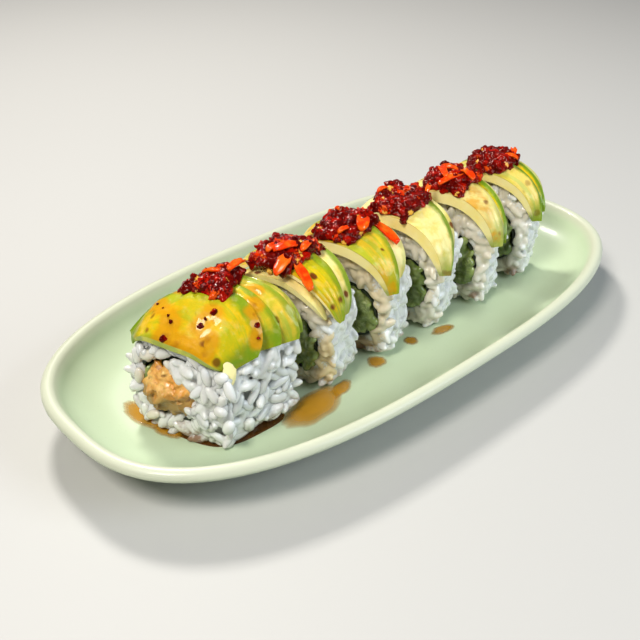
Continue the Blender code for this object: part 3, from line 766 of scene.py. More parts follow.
def avocado_material(settings):
    """Ripe avocado: yellow top, green edges and tips, cream knife cuts, amber glaze stains and sauce dots."""
    made = Shader("avocado", Roughness=0.34, IOR=1.4, Coat_Weight=0.25, Coat_Roughness=0.05)
    made.specular(0.3, (1.0, 0.9, 0.5))
    made.subsurface(0.12, (1.0, 0.8, 0.2), 1.2 * MM)
    place, share, outer = made.attribute("where")
    cream, green_back, green_tip = made.attribute("look")
    stain, cut_green, mark = made.attribute("stain")
    wander = made.maths("SUBTRACT", made.noise(110, 4), 0.5)
    strip = made.node("ShaderNodeCombineXYZ", X=made.times(place, 0.9), Y=made.times(share, 3.4))
    made.feed(strip.inputs["Z"], made.times(made.along("X"), 45))
    streak = made.ramp(made.noise(1.3, 4, 0.6, 0.6, strip.outputs["Vector"]), 0.42, 0.60)
    yellow, pale, green = settings.yellow, settings.cream, settings.green
    cloud = made.ramp(made.noise(120, 4, 0.6), 0.46, 0.62)
    flesh = made.mix(made.maths("MAXIMUM", made.times(cloud, 0.7), streak), yellow, settings.yellow_green)
    flesh = made.mix(cream, flesh, made.mix(made.times(cloud, 0.5), pale, yellow))
    back = made.plus(share, made.times(wander, 0.5))
    flesh = made.mix(made.times(made.ramp(back, 0.66, 0.84), green_back), flesh, green)
    far_out = made.plus(made.maths("ABSOLUTE", place), made.times(wander, 0.5))
    flesh = made.mix(made.times(made.ramp(far_out, 0.62, 0.92), green_tip), flesh, green)
    flesh = made.mix(made.times(made.ramp(made.noise(300, 3), 0.5, 0.7), 0.12), flesh, pale)
    veil = made.ramp(made.noise(65, 4, 0.6, 0.5), 0.48, 0.60)
    veil = made.times(veil, made.ramp(back, 0.45, 0.8, 1.0, 0.15))
    veil = made.times(veil, made.maths("MINIMUM", made.times(stain, 1.3), 1.0))
    flesh = made.mix(made.times(veil, 0.75), flesh, settings.amber)
    pooled = made.ramp(made.plus(mark, made.times(wander, 1.3)), 0.05, 0.55)
    flesh = made.mix(made.times(pooled, 0.8), flesh, settings.amber)
    flesh = made.mix(made.ramp(made.plus(mark, wander), 0.72, 1.0, 0.0, 0.5), flesh, (0.26, 0.06, 0.001))
    dots = made.ramp(made.plus(made.spots(150), made.times(wander, 0.5)), 0.14, 0.26, 1.0, 0.0)
    rare = made.ramp(made.noise(75, 2), 0.47, 0.50)
    dots = made.times(made.times(dots, rare), made.ramp(stain, 0.0, 0.3, 0.4, 0.95))
    flesh = made.mix(dots, flesh, (0.13, 0.014, 0.003))
    cut = made.mix(made.ramp(made.noise(90, 3), 0.42, 0.7), pale, settings.cut)
    cut = made.mix(cut_green, cut, made.mix(cloud, green, settings.yellow_green))
    cut = made.mix(made.times(made.ramp(far_out, 0.72, 0.98), green_tip), cut, green)
    made.bump(made.noise(150, 5, 0.55), 0.5, 0.9 * MM)
    return made.colour(made.mix(made.ramp(outer, 0.86, 1.0), cut, flesh))


def relish_material(settings):
    """Wet, dark red crumbs, some painted brighter red as a painted glow of light shining through, with orange
    flakes and pale seeds.
    """
    made = Shader("relish", Roughness=0.14, IOR=1.4, Coat_Weight=0.1, Coat_Roughness=0.03)
    made.specular(0.22, (1.0, 0.5, 0.35))
    made.subsurface(0.15, (1.0, 0.15, 0.05), 1.5 * MM)
    tint, flake, seed = made.attribute("grain")
    # Brighter red on random crumbs and in noise patches is a painted glow of light shining through the
    # relish.
    body = made.mix(tint, settings.dark, settings.bright)
    body = made.mix(made.ramp(made.noise(330, 3), 0.52, 0.66, 0.0, 0.6), body, settings.bright)
    strip = made.mix(made.ramp(made.noise(260, 3), 0.4, 0.65), settings.flake, (0.78, 0.12, 0.006))
    body = made.mix(flake, body, strip)
    body = made.mix(seed, body, (0.80, 0.42, 0.06))
    made.bump(made.noise(600, 3), 0.35, 0.4 * MM)
    return made.colour(body)


def sauce_material(settings):
    """Thin amber sauce that lets the plate show through, darker where it is deep."""
    made = Shader("sauce", Roughness=0.08, IOR=1.35, Coat_Weight=0.5, Coat_Roughness=0.02)
    cloud = made.ramp(made.noise(70, 3), 0.35, 0.7)
    depth, _, _ = made.attribute("grain")
    body = made.mix(cloud, settings.sauce, scaled(settings.sauce, 0.7))
    body = made.mix(made.ramp(depth, 0.9, 1.4), body, (0.10, 0.035, 0.004))
    made.feed(made.out.inputs["Alpha"], made.ramp(depth, 0.0, 1.0, 0.0, 0.8))
    return made.colour(body)


def floor_material(settings):
    """Plain pale floor, barely mottled."""
    made = Shader("floor", Roughness=0.6)
    pale = settings.floor
    return made.colour(made.mix(made.noise(3, 2), pale, scaled(pale, 0.97)))


def colour_property(name, default):
    """A colour setting."""
    told = f"Colour: {name.lower()}"
    return FloatVectorProperty(name=name, description=told, subtype="COLOR", min=0, max=1, default=default)


def length_property(name, description, default):
    """A length setting, given in millimetres."""
    return FloatProperty(name=name, description=description, subtype="DISTANCE", default=default * MM)


class UramakiPlateSettings(bpy.types.PropertyGroup):
    """The plate's fineness and glaze."""

    steps: IntProperty(name="Steps", description="Steps round the plate", default=168, min=24)
    rings: IntProperty(name="Rings", description="Rings on each curved stretch", default=10, min=3)
    glaze: colour_property("Glaze", (0.47, 0.56, 0.38))
    lip: colour_property("Lip glaze", (0.56, 0.58, 0.44))


class UramakiRiceSettings(bpy.types.PropertyGroup):
    """The rice's grain size and colours."""

    grain_length: length_property("Grain length", "Length of a usual grain", 6.8)
    grain_width: length_property("Grain width", "Thickness of a usual grain", 3.05)
    spacing: length_property("Spacing", "Least distance between two grains", 2.45)
    voxel: length_property("Fineness", "Step of the melted skin", 0.5)
    end_voxel: length_property("End fineness", "Step of the melted skin on the end slice", 0.43)
    rice: colour_property("Rice", (0.80, 0.81, 0.79))
    stain: colour_property("Sauce stain", (0.20, 0.075, 0.015))
    tea: colour_property("Glaze stain", (0.64, 0.50, 0.24))


class UramakiFillingSettings(bpy.types.PropertyGroup):
    """The two fillings' colours."""

    voxel: length_property("Fineness", "Step of the melted skin", 0.5)
    fried_voxel: length_property("Batter fineness", "Step of the batter's melted skin", 0.4)
    crust: colour_property("Crust", (0.70, 0.29, 0.03))
    crumb: colour_property("Crumb", (0.94, 0.60, 0.18))
    green: colour_property("Green", (0.15, 0.22, 0.04))
    green_pale: colour_property("Pale green", (0.38, 0.45, 0.14))


class UramakiAvocadoSettings(bpy.types.PropertyGroup):
    """The avocado's fineness and colours."""

    steps_across: IntProperty(name="Steps across", description="Steps across the roll", default=44, min=7)
    steps_along: IntProperty(name="Steps along", description="Steps along the roll", default=18, min=3)
    wave: length_property("Unevenness", "Height of the waves in the surface", 0.35)
    yellow: colour_property("Yellow", (0.70, 0.46, 0.004))
    yellow_green: colour_property("Yellow-green", (0.40, 0.42, 0.008))
    cream: colour_property("Cream", (0.96, 0.84, 0.40))
    cut: colour_property("Knife cut", (0.95, 0.78, 0.25))
    green: colour_property("Green", (0.15, 0.26, 0.008))
    amber: colour_property("Amber glaze", (0.62, 0.26, 0.001))


class UramakiRelishSettings(bpy.types.PropertyGroup):
    """The relish's crumbs and colours."""

    crumbs: IntProperty(name="Crumbs", description="Crumbs on each slice", default=130, min=10)
    flakes: IntProperty(name="Flakes", description="Loose flakes on each slice", default=2, min=0)
    crumb_size: length_property("Crumb size", "Half size of a usual crumb", 1.5)
    voxel: length_property("Fineness", "Step of the melted skin", 0.37)
    dark: colour_property("Dark red", (0.07, 0.0005, 0.0003))
    # Bright red: the painted glow of light shining through the brighter crumbs.
    bright: colour_property("Bright red", (0.38, 0.005, 0.0005))
    flake: colour_property("Flake", (0.75, 0.035, 0.001))


class UramakiSauceSettings(bpy.types.PropertyGroup):
    """The sauce on the plate."""

    depth: length_property("Depth", "Depth in the middle", 0.4)
    sauce: colour_property("Sauce", (0.52, 0.24, 0.002))


class UramakiStageSettings(bpy.types.PropertyGroup):
    """Floor and light."""

    floor: colour_property("Floor", (0.50, 0.49, 0.47))
    key: FloatProperty(name="Key light", description="Power of the light", subtype="POWER", default=5.5)
    fill: FloatProperty(name="Fill light", description="Power of the light", subtype="POWER", default=4.1)
    side: FloatProperty(name="Side light", description="Power of the light", subtype="POWER", default=5.3)
    world: FloatProperty(name="Surround", description="Strength of the light from all round", default=0.16)


def plate_profile(rings):
    """The plate's half section as (height, distance from the middle): foot, outer wall, lip, well, floor."""
    lip_height = RIM_TOP - LIP_RADIUS
    lip_middle = PLATE_WIDTH / 2 - LIP_RADIUS
    points = [(FOOT_RECESS, 0), (FOOT_RECESS, FOOT_INNER - 1 * MM), (FOOT_RECESS, FOOT_INNER)]
    points += [(0, FOOT_INNER + 1 * MM), (0, FOOT_OUTER - 1 * MM)]
    start, bend = Vector((FOOT_OUTER, WALL_START)), Vector(WALL_BEND)
    end = Vector((lip_middle + LIP_RADIUS * 0.97, lip_height - 0.6 * MM))
    for i in range(rings):
        share = i / rings
        reach, height = start.lerp(bend, share).lerp(bend.lerp(end, share), share)
        points.append((height, reach))
    for i in range(rings + 1):
        turn = math.radians(-10 + 170 * i / rings)
        points.append((lip_height + LIP_RADIUS * math.sin(turn), lip_middle + LIP_RADIUS * math.cos(turn)))
    well_reach = lip_middle - LIP_RADIUS - 1.2 * MM - FLOOR_HALF_WIDTH
    well_rise = lip_height - 1.6 * MM - FLOOR
    for i in range(2 * rings, -1, -1):
        turn = WELL_END_SLOPE * i / (2 * rings)
        rise = well_rise * (1 - math.cos(turn)) / (1 - math.cos(WELL_END_SLOPE))
        reach = well_reach * math.sin(turn) / math.sin(WELL_END_SLOPE)
        points.append((FLOOR + rise, FLOOR_HALF_WIDTH + reach))
    points += [(FLOOR, FLOOR_HALF_WIDTH * i / 4) for i in range(3, -1, -1)]
    return points


class URAMAKI_OT_plate(bpy.types.Operator):
    """Build the plate"""

    bl_idname = "uramaki.plate"
    bl_label = "Plate"

    def execute(self, context):
        settings = context.scene.uramaki_plate
        bm = spun(plate_profile(settings.rings), settings.steps, closed=False)
        stretch = (PLATE_LENGTH - PLATE_WIDTH) / 2
        for vert in bm.verts:
            height, reach = vert.co.x, math.hypot(vert.co.y, vert.co.z)
            turn = math.atan2(vert.co.z, vert.co.y)
            if reach < 1e-6:
                vert.co = (0, 0, height)
                continue
            long_side = (reach + stretch) * signed_power(math.cos(turn), 2 / PLATE_SQUARENESS)
            vert.co = (long_side, reach * signed_power(math.sin(turn), 2 / PLATE_SQUARENESS), height)
        finish_piece("plate_glazed", bm, glaze_material(settings), None, ["plate"])
        return {"FINISHED"}


def rice_core(piece):
    """The ring of rice under the grains, a little smaller than the solid, with bumps of grain size."""
    outer = [(-1 + 2 * i / 12, 2) for i in range(13)]
    back = [(1, 2 - i / 5) for i in range(1, 6)]
    hole = [(0.5, 1), (0, 1), (-0.5, 1)]
    front = [(-1, 1 + i / 5) for i in range(5)]
    bm = spun(outer + back + hole + front, 72, closed=True)
    shrink = END_CORE_SHRINK if piece.is_end else CORE_SHRINK
    for vert in bm.verts:
        angle = math.atan2(vert.co.z, vert.co.y)
        share = math.hypot(vert.co.y, vert.co.z) - 1
        along = vert.co.x * (piece.length / 2 - shrink - CORNER_DROP * smooth(0.6, 1.0, share))
        inner = core_point(piece, along, angle)
        grit = Vector((along, angle * 18 * MM, share * 8 * MM + piece.seed)) / (3 * MM)
        rough = 0.7 * MM * noise.noise(grit)
        spot = Vector((along, angle * piece.half_width, share * 9 * MM + piece.seed)) / PIT_PITCH
        pit = CORE_PIT * smooth(0.12, 0.5, noise.noise(spot)) * share
        corner = CORNER_DROP * smooth(0.8, 1.0, abs(vert.co.x)) * share
        outside = lifted(piece, along, angle, rough * share - shrink - pit - corner)
        flat = settled(piece, along, *inner)
        vert.co = flat.lerp(outside, share)
        vert.co.z = max(vert.co.z, CLEARANCE)
    return bm


def grain_sites(piece, spacing, draw):
    """Evenly spread places for grains, each as (place, normal, direction, is_front)."""
    sites, kept = [], []
    for _ in range(END_SITE_TRIES if piece.is_end else SITE_TRIES):
        pick = draw.random()
        if pick < 0.62:
            angle = draw.uniform(math.radians(-92), math.radians(272))
            along = draw.uniform(-0.5, 0.5) * (piece.length - 1.6 * MM)
            if is_covered(piece, along, angle, -3 * MM):
                continue
            sink = draw.uniform(-1.2, 0.3) * MM if piece.is_end else draw.uniform(-1.3, -0.3) * MM
            sink += RELIEF * noise.noise(Vector((along, angle * piece.half_width, piece.seed)) / RELIEF_PITCH)
            corner = max(0.0, 1 - (piece.length / 2 - abs(along)) / CORNER_REACH)
            sink -= CORNER_DROP * corner * corner
            if is_covered(piece, along, angle, 1.2 * MM):
                sink = min(sink, -1.9 * MM)
            place = lifted(piece, along, angle, sink)
            normal = (lifted(piece, along, angle, 3 * MM) - place).normalized()
            towards, kind = Vector((1, 0, 0)), "side"
        else:
            face = -1 if pick < 0.86 else 1
            angle = draw.uniform(0, 2 * math.pi)
            along = face * (piece.length / 2 - 0.5 * MM)
            start = 0.0 if piece.is_end else 0.12
            share = math.sqrt(draw.uniform(start * start, 0.82))
            hole = core_point(piece, along, angle)
            flat = hole.lerp(outline(piece, along, angle), share) if share > 0 else hole
            back = CORNER_DROP * smooth(0.62, 0.82, share)
            place = settled(piece, along + face * (draw.uniform(-0.9, 0.4) * MM - back), *flat)
            normal = Vector((face, 0.36 * face * (1 if piece.is_end else 0), 0)).normalized()
            towards, kind = Vector((0, 0, 1)), "front" if face < 0 else "back"
        if place.z < 1.5 * MM:
            place.z = 1.5 * MM
        if any((place - other).length_squared < spacing * spacing for other in kept):
            continue
        kept.append(place)
        sites.append((place, normal, towards, kind))
    if piece.is_end:
        for _ in range(COVERING_GRAINS):
            angle = draw.uniform(math.radians(85), math.radians(215))
            along = -piece.length / 2 - draw.uniform(0.2, 1.6) * MM
            hole = core_point(piece, along, angle)
            middle = core_point(piece, along, 0, share=(0, 0))
            place = settled(piece, along, *hole.lerp(middle, draw.uniform(-0.05, 0.33)))
            sites.append((place, Vector(END_FACING).normalized(), Vector((0, 0, 1)), "front"))
    return sites


def add_grain(bm, layer, place, turn, size, bend, tint):
    """One grain: a ball drawn out, slightly bent and flattened, with its tint."""
    made = bmesh.ops.create_uvsphere(bm, u_segments=8, v_segments=8, radius=1)["verts"]
    for vert in made:
        x, y, z = vert.co.z, vert.co.x, vert.co.y
        reach = math.hypot(y, z)
        taper = math.sqrt(max(0.0, 1 - abs(x) ** GRAIN_TAPER)) / reach if reach > 1e-4 else 1
        local = Vector((x * size.x, y * size.y * taper, z * size.z * taper + bend * (x * x - 0.4)))
        vert.co = place + turn @ local
        vert.co.z = max(vert.co.z, CLEARANCE)
        vert[layer] = tint


class URAMAKI_OT_rice(bpy.types.Operator):
    """Build each slice's rice from grains over a core, melted together where they touch"""

    bl_idname = "uramaki.rice"
    bl_label = "Rice"

    def execute(self, context):
        settings = context.scene.uramaki_rice
        look = rice_material(settings)
        for piece in SLICES:
            draw = random.Random(piece.seed)
            bm = rice_core(piece)
            layer = bm.verts.layers.float_vector.new("grain")
            for vert in bm.verts:
                vert[layer] = Vector((0.6, 0.6, 0))
            grains, loose = [], []
            for place, normal, towards, kind in grain_sites(piece, settings.spacing, draw):
                swing = Matrix.Rotation(draw.uniform(-GRAIN_SWING, GRAIN_SWING), 3, normal)
                nod = Matrix.Rotation(draw.uniform(-GRAIN_NOD, GRAIN_NOD), 3, "Y")
                turn = swing @ facing(normal, towards) @ nod
                scale = draw.uniform(0.85, 1.1) * (1.08 if piece.is_end else 0.96)
                if piece.is_end and draw.random() < GIANT_SHARE:
                    scale *= 1.25
                length = settings.grain_length * draw.uniform(0.72, 1.2)
                size = Vector((length, settings.grain_width, settings.grain_width * 0.88)) * scale / 2
                tea = piece.tea if kind == "front" else 0.0
                tint = Vector((draw.random(), draw.random() ** 2, tea))
                bend = draw.uniform(-0.4, 0.4) * MM
                is_loose = piece.is_end and draw.random() < LOOSE_SHARE
                if is_loose:
                    place = place + normal * LOOSE_RISE
                    size *= draw.uniform(0.95, 1.25)
                kept = loose if is_loose else grains
                kept.append(partial(add_grain, place=place, turn=turn, size=size, bend=bend, tint=tint))
            add_many(bm, grains)
            node = f"{piece.name}_rice"
            made = finish_piece(f"{piece.name}_grains", bm, look, piece.stand, [node], False)
            melt(made, settings.end_voxel if piece.is_end else settings.voxel, 1)
            if piece.is_end:
                self.add_loose(piece, loose, look, draw)
        return {"FINISHED"}

    def add_loose(self, piece, loose, look, draw):
        """The grains that stand apart on the end slice, with the large ones on its front."""
        normal = Vector(END_FACING).normalized()
        for across, up, length, width, turn in SHOWN_GRAINS:
            place = settled(piece, -piece.length / 2 - SHOWN_RISE, across * MM, up * MM)
            lie = Vector((0, -math.cos(math.radians(turn)), math.sin(math.radians(turn))))
            size = Vector((length, width, width * 0.85)) * MM / 2
            tint = Vector((draw.random() * 0.5, draw.random() * 0.4, 0.35 if across > 0 else 0))
            bend = draw.uniform(-0.5, 0.5) * MM
            grain = partial(add_grain, place=place, turn=facing(normal, lie), size=size, bend=bend, tint=tint)
            loose.append(grain)
        add_separate(f"{piece.name}_loose", loose, look, piece, f"{piece.name}_rice")


class URAMAKI_OT_seaweed(bpy.types.Operator):
    """Build the sheet of seaweed in each slice"""

    bl_idname = "uramaki.seaweed"
    bl_label = "Seaweed"

    def execute(self, context):
        look = seaweed_material()
        for piece in SLICES:
            ends = [-1 + 0.25 * i for i in range(9)]
            bm = spun([(end, 2) for end in ends] + [(end, 1) for end in reversed(ends)], 72, closed=True)
            for vert in bm.verts:
                angle = math.atan2(vert.co.z, vert.co.y)
                is_outer = math.hypot(vert.co.y, vert.co.z) > 1.5
                shrink = CLEARANCE + (0 if is_outer else SEAWEED_THICKNESS)
                along = vert.co.x * (piece.length / 2 - SEAWEED_RECESS)
                across, up = core_point(piece, along, angle, shrink)
                vert.co = settled(piece, along, across, up)
            finish_piece(f"{piece.name}_sheet", bm, look, piece.stand, [f"{piece.name}_seaweed"])
        return {"FINISHED"}


def filling(piece, centre, half_size, proud, crag, pitch):
    """A filling that runs through the slice: a lumpy rod whose ends bulge out of the cuts."""
    dome = [(1 - 0.1 * (i / 6) ** 2, math.sqrt(1 - (1 - i / 6) ** 2)) for i in range(1, 6)]
    profile = [(-1.0, 0)] + [(-end, radius) for end, radius in dome]
    profile += [(-0.9 + 1.8 * i / 14, 1) for i in range(15)]
    profile += dome[::-1] + [(1.0, 0)]
    bm = spun(profile, 48, closed=False)
    reach = piece.length / 2
    layer = bm.verts.layers.float_vector.new("grain")
    for vert in bm.verts:
        angle = math.atan2(vert.co.z, vert.co.y)
        share = math.hypot(vert.co.y, vert.co.z)
        bulge = reach + (proud[0] if vert.co.x < 0 else proud[1]) * MM
        along = vert.co.x * bulge
        middle = core_point(piece, along, 0, share=(0, 0), centre=centre)
        edge = core_point(piece, along, angle, share=half_size, centre=centre)
        flat = middle.lerp(edge, share * (1 - crag * 0.5))
        spot = Vector((along, flat.x, flat.y + piece.seed * MM))
        lump = noise.noise(spot / (pitch * MM)) + 0.5 * noise.noise(spot / (0.45 * pitch * MM))
        flat = middle.lerp(flat, 1 + crag * 0.6 * lump)
        swell = signed_power(vert.co.x, 3) * lump * crag * 2.2 * MM * (1.2 - share)
        vert.co = settled(piece, along + swell, *flat)
        vert[layer] = Vector((0.5, 0, 0))
    return bm


class URAMAKI_OT_fillings(bpy.types.Operator):
    """Build the fried and the green filling in each slice"""

    bl_idname = "uramaki.fillings"
    bl_label = "Fillings"

    def execute(self, context):
        settings = context.scene.uramaki_filling
        fried_look, green_look = fried_material(settings), green_material(settings)
        for piece in SLICES:
            draw = random.Random(piece.seed + 100)
            if piece.is_end:
                fried = filling(piece, *END_FRIED)
                self.add_crust(fried, piece, draw)
                green = filling(piece, *END_GREEN)
            else:
                green = filling(piece, *CUT_GREEN)
                fried = filling(piece, *CUT_FRIED)
                self.add_lumps(green, piece, draw)
            name = piece.name
            nodes = [f"{name}_fried"]
            made = finish_piece(f"{name}_crumb", fried, fried_look, piece.stand, nodes, False)
            if piece.is_end:
                melt(made, settings.fried_voxel, 1)
            nodes = [f"{name}_green"]
            made = finish_piece(f"{name}_greens", green, green_look, piece.stand, nodes, False)
            melt(made, settings.voxel, 2)
        return {"FINISHED"}

    def add_crust(self, bm, piece, draw):
        """Craggy bits of batter over the end of the fried filling."""
        bits = []
        for _ in range(CRUST_BITS):
            angle, share = draw.uniform(0, 2 * math.pi), math.sqrt(draw.random())
            bulge = CRUST_BULGE * math.sqrt(1 - 0.9 * share * share) - 1.6
            along = -piece.length / 2 - (bulge + draw.uniform(-1.2, 0.8)) * MM
            centre = -0.05 if math.sin(angle) > 0.2 else 0.12
            middle = core_point(piece, along, 0, share=(0, 0), centre=centre)
            edge = core_point(piece, along, angle, share=CRUST_SHARE, centre=centre)
            size = draw.uniform(0.8, 2.1) * MM * (1.25 - 0.5 * share)
            place = settled(piece, along, *middle.lerp(edge, share))
            tint = Vector((draw.random(), 0, 0))
            bits.append(partial(add_crumb, place=place, size=size, tint=tint, draw=draw, rough=1.0))
        add_many(bm, bits)

    def add_lumps(self, bm, piece, draw):
        """Small soft lumps over both cuts of the green filling."""
        lumps = []
        for face in (-1, 1):
            for _ in range(GREEN_LUMPS):
                angle, share = draw.uniform(0, 2 * math.pi), math.sqrt(draw.random()) * 1.08
                along = face * (piece.length / 2 + 0.1 * MM)
                middle = core_point(piece, along, 0, share=(0, 0), centre=CUT_GREEN[0])
                edge = core_point(piece, along, angle, share=CUT_GREEN[1], centre=CUT_GREEN[0])
                place = settled(piece, along, *middle.lerp(edge, share))
                turn = Matrix.Rotation(draw.uniform(0, math.pi), 3, "X")
                size = Vector(GREEN_LUMP_SIZE) * MM * draw.uniform(0.6, 1.25)
                turn = turn @ Matrix.Rotation(math.pi / 2, 3, "Z")
                tint = Vector((draw.random(), 0, 0))
                lumps.append(partial(add_grain, place=place, turn=turn, size=size, bend=0.0, tint=tint))
        add_many(bm, lumps)


def avocado_slice(piece, layer, settings):
    """One avocado slice: a fine thick grid bent over the rice, its cut edges slightly rounded."""
    bm = thick_grid(settings.steps_across, settings.steps_along)
    where = bm.verts.layers.float_vector.new("where")
    look = bm.verts.layers.float_vector.new("look")
    stain = bm.verts.layers.float_vector.new("stain")
    seed = Vector((piece.seed, layer.front[1] * 9, 0))
    for vert in bm.verts:
        place, share, outer = vert.co.x, (vert.co.y + 1) / 2, vert.co.z > 0.5
        vert[where] = Vector((place, share, 1 if outer else 0))
        vert[look] = Vector(layer.look[:3])
        angle = layer.near + (layer.far - layer.near) * (place + 1) / 2
        front, back = layer_edges(piece, layer, place)
        offset = layer_offsets(layer, share, place)[1 if outer else 0]
        along = front + (back - front) * share
        wander = noise.noise(Vector((place * 2.5, share * 2.0, 0)) + seed)
        along += 0.5 * MM * wander * (1 if share in (0.0, 1.0) else 0.6)
        vert[stain] = Vector((layer.look[3], 0.8 if piece.is_end else 0.0, mark_at(piece, along, angle)))
        if outer:
            inside = 1 - max(abs(place), abs(2 * share - 1)) ** 8
            wave = settings.wave * (2.4 if piece.is_end else 1)
            offset += wave * inside * noise.noise(Vector((place * 4, share * 3, 3)) + seed)
            offset += 0.5 * wave * inside * noise.noise(Vector((place * 11, share * 8, 5)) + seed)
            if layer.ridge:
                wave = math.sin(share * 15 + place * 2.5 + 1.5 * wander)
                offset += layer.ridge * inside * (1 - abs(wave)) ** 0.6 - layer.ridge * 0.5
        vert.co = lifted(piece, along, angle, offset)
    return bm


def add_tongue(bm, piece):
    """A scrap of pale flesh that hangs from the end slice's avocado over the rice."""
    made = bmesh.ops.create_uvsphere(bm, u_segments=16, v_segments=12, radius=1)["verts"]
    where, look, stain = (bm.verts.layers.float_vector[name] for name in ("where", "look", "stain"))
    along, start, end, half_width, thick = TONGUE
    for vert in made:
        down, side = vert.co.x, vert.co.y
        wide = 1 - 0.35 * smooth(-0.3, 1, down) + 0.7 * noise.noise(Vector((down * 3, side * 2, 4)))
        angle = math.radians(start + (end - start) * (down + 1) / 2)
        rise = 0.9 + 1.8 * (1 - down) / 2 + vert.co.z * thick
        place = lifted(piece, (along + side * half_width * wide) * MM, angle, rise * MM)
        vert.co = place
        vert[where] = Vector((0, 0, 0))
        vert[look] = Vector((1, 0, 0))
        vert[stain] = Vector((0, 0, -1))


class URAMAKI_OT_avocado(bpy.types.Operator):
    """Build the overlapping avocado slices"""

    bl_idname = "uramaki.avocado"
    bl_label = "Avocado"

    def execute(self, context):
        settings = context.scene.uramaki_avocado
        look = avocado_material(settings)
        for piece in SLICES:
            for number, layer in enumerate(piece.layers, start=1):
                bm = avocado_slice(piece, layer, settings)
                if piece.is_end and number == 1:
                    add_tongue(bm, piece)
                name = f"{piece.name}_avocado{number}"
                finish_piece(f"{name}_cut", bm, look, piece.stand, [name])
        return {"FINISHED"}


def relish_place(piece, across, share):
    """A place on the relish's ridge: (along, angle, inner offset, outer offset)."""
    start = piece.length / 2 + piece.overhang - 0.4 * MM
    front = -start + (END_RELISH_START if piece.is_end else 0)
    narrow = 1 - 0.2 * abs(2 * share - 1) ** 3 - (0.35 * share if piece.is_end else 0)
    middle_angle = RELISH_MIDDLE_ANGLE - (END_RELISH_TURN * share if piece.is_end else 0)
    angle = middle_angle - across * RELISH_HALF_ANGLE * narrow
    along = front + (start - front) * share
    inner = cover_top(piece, along, angle) + CLEARANCE * 0.5
    middle = (1 - across**4) * (1 - (2 * share - 1) ** 8)
    uneven = 0.8 + 0.5 * noise.noise(Vector((along / (5 * MM), across * 1.5, piece.seed)))
    return along, angle, inner, inner + RELISH_RIM + (RELISH_HEIGHT - RELISH_RIM) * middle * uneven


def relish_body(piece):
    """The dark wet mass under the crumbs."""
    bm = thick_grid(*RELISH_STEPS)
    layer = bm.verts.layers.float_vector.new("grain")
    for vert in bm.verts:
        along, angle, inner, outer = relish_place(piece, vert.co.x, (vert.co.y + 1) / 2)
        rough = 0.5 * MM * noise.noise(Vector((along, angle * 20 * MM, piece.seed)) / (1.6 * MM))
        is_outer = vert.co.z > 0.5
        vert.co = lifted(piece, along, angle, outer - RELISH_BODY_SINK + rough if is_outer else inner)
        vert[layer] = Vector((0.0, 0, 0))
    return bm


def add_crumb(bm, layer, place, size, tint, draw, rough=0.34):
    """One wet crumb: a small ball pushed out of round."""
    made = bmesh.ops.create_icosphere(bm, subdivisions=2, radius=1)["verts"]
    seed = Vector((draw.uniform(0, 50), 0, 0))
    stretch = Vector((draw.uniform(0.8, 1.25), draw.uniform(0.8, 1.15), draw.uniform(0.75, 1.05)))
    for vert in made:
        lump = 1 + rough * noise.noise(vert.co * 1.3 + seed)
        vert.co = place + Vector(a * b for a, b in zip(vert.co * (lump * size), stretch))
        vert[layer] = tint


def add_flake(bm, layer, matrix, length, width, seed):
    """One pepper flake: a strip with a thickness, curled along its length and across it."""
    made = bmesh.ops.create_grid(bm, x_segments=8, y_segments=3, size=1)["verts"]
    faces = list({face for vert in made for face in vert.link_faces})
    raised = bmesh.ops.extrude_face_region(bm, geom=faces, use_keep_orig=True)
    top = [v for v in raised["geom"] if isinstance(v, bmesh.types.BMVert)]
    for vert in made + top:
        x, y = vert.co.x, vert.co.y
        narrow = 1 - 0.45 * abs(x) ** 3 + 0.15 * noise.noise(Vector((x * 2, seed, 0)))
        curl = -0.7 * MM * (x * x - 0.3) + 0.25 * y * y * width
        rise = curl + 0.5 * MM * noise.noise(Vector((x * 1.5, y, seed)))
        thick = 0.35 * MM if vert in top else -0.35 * MM
        vert.co = matrix @ Vector((x * length / 2, y * width / 2 * narrow, rise + thick))
        vert[layer] = Vector((0, 1, 0))


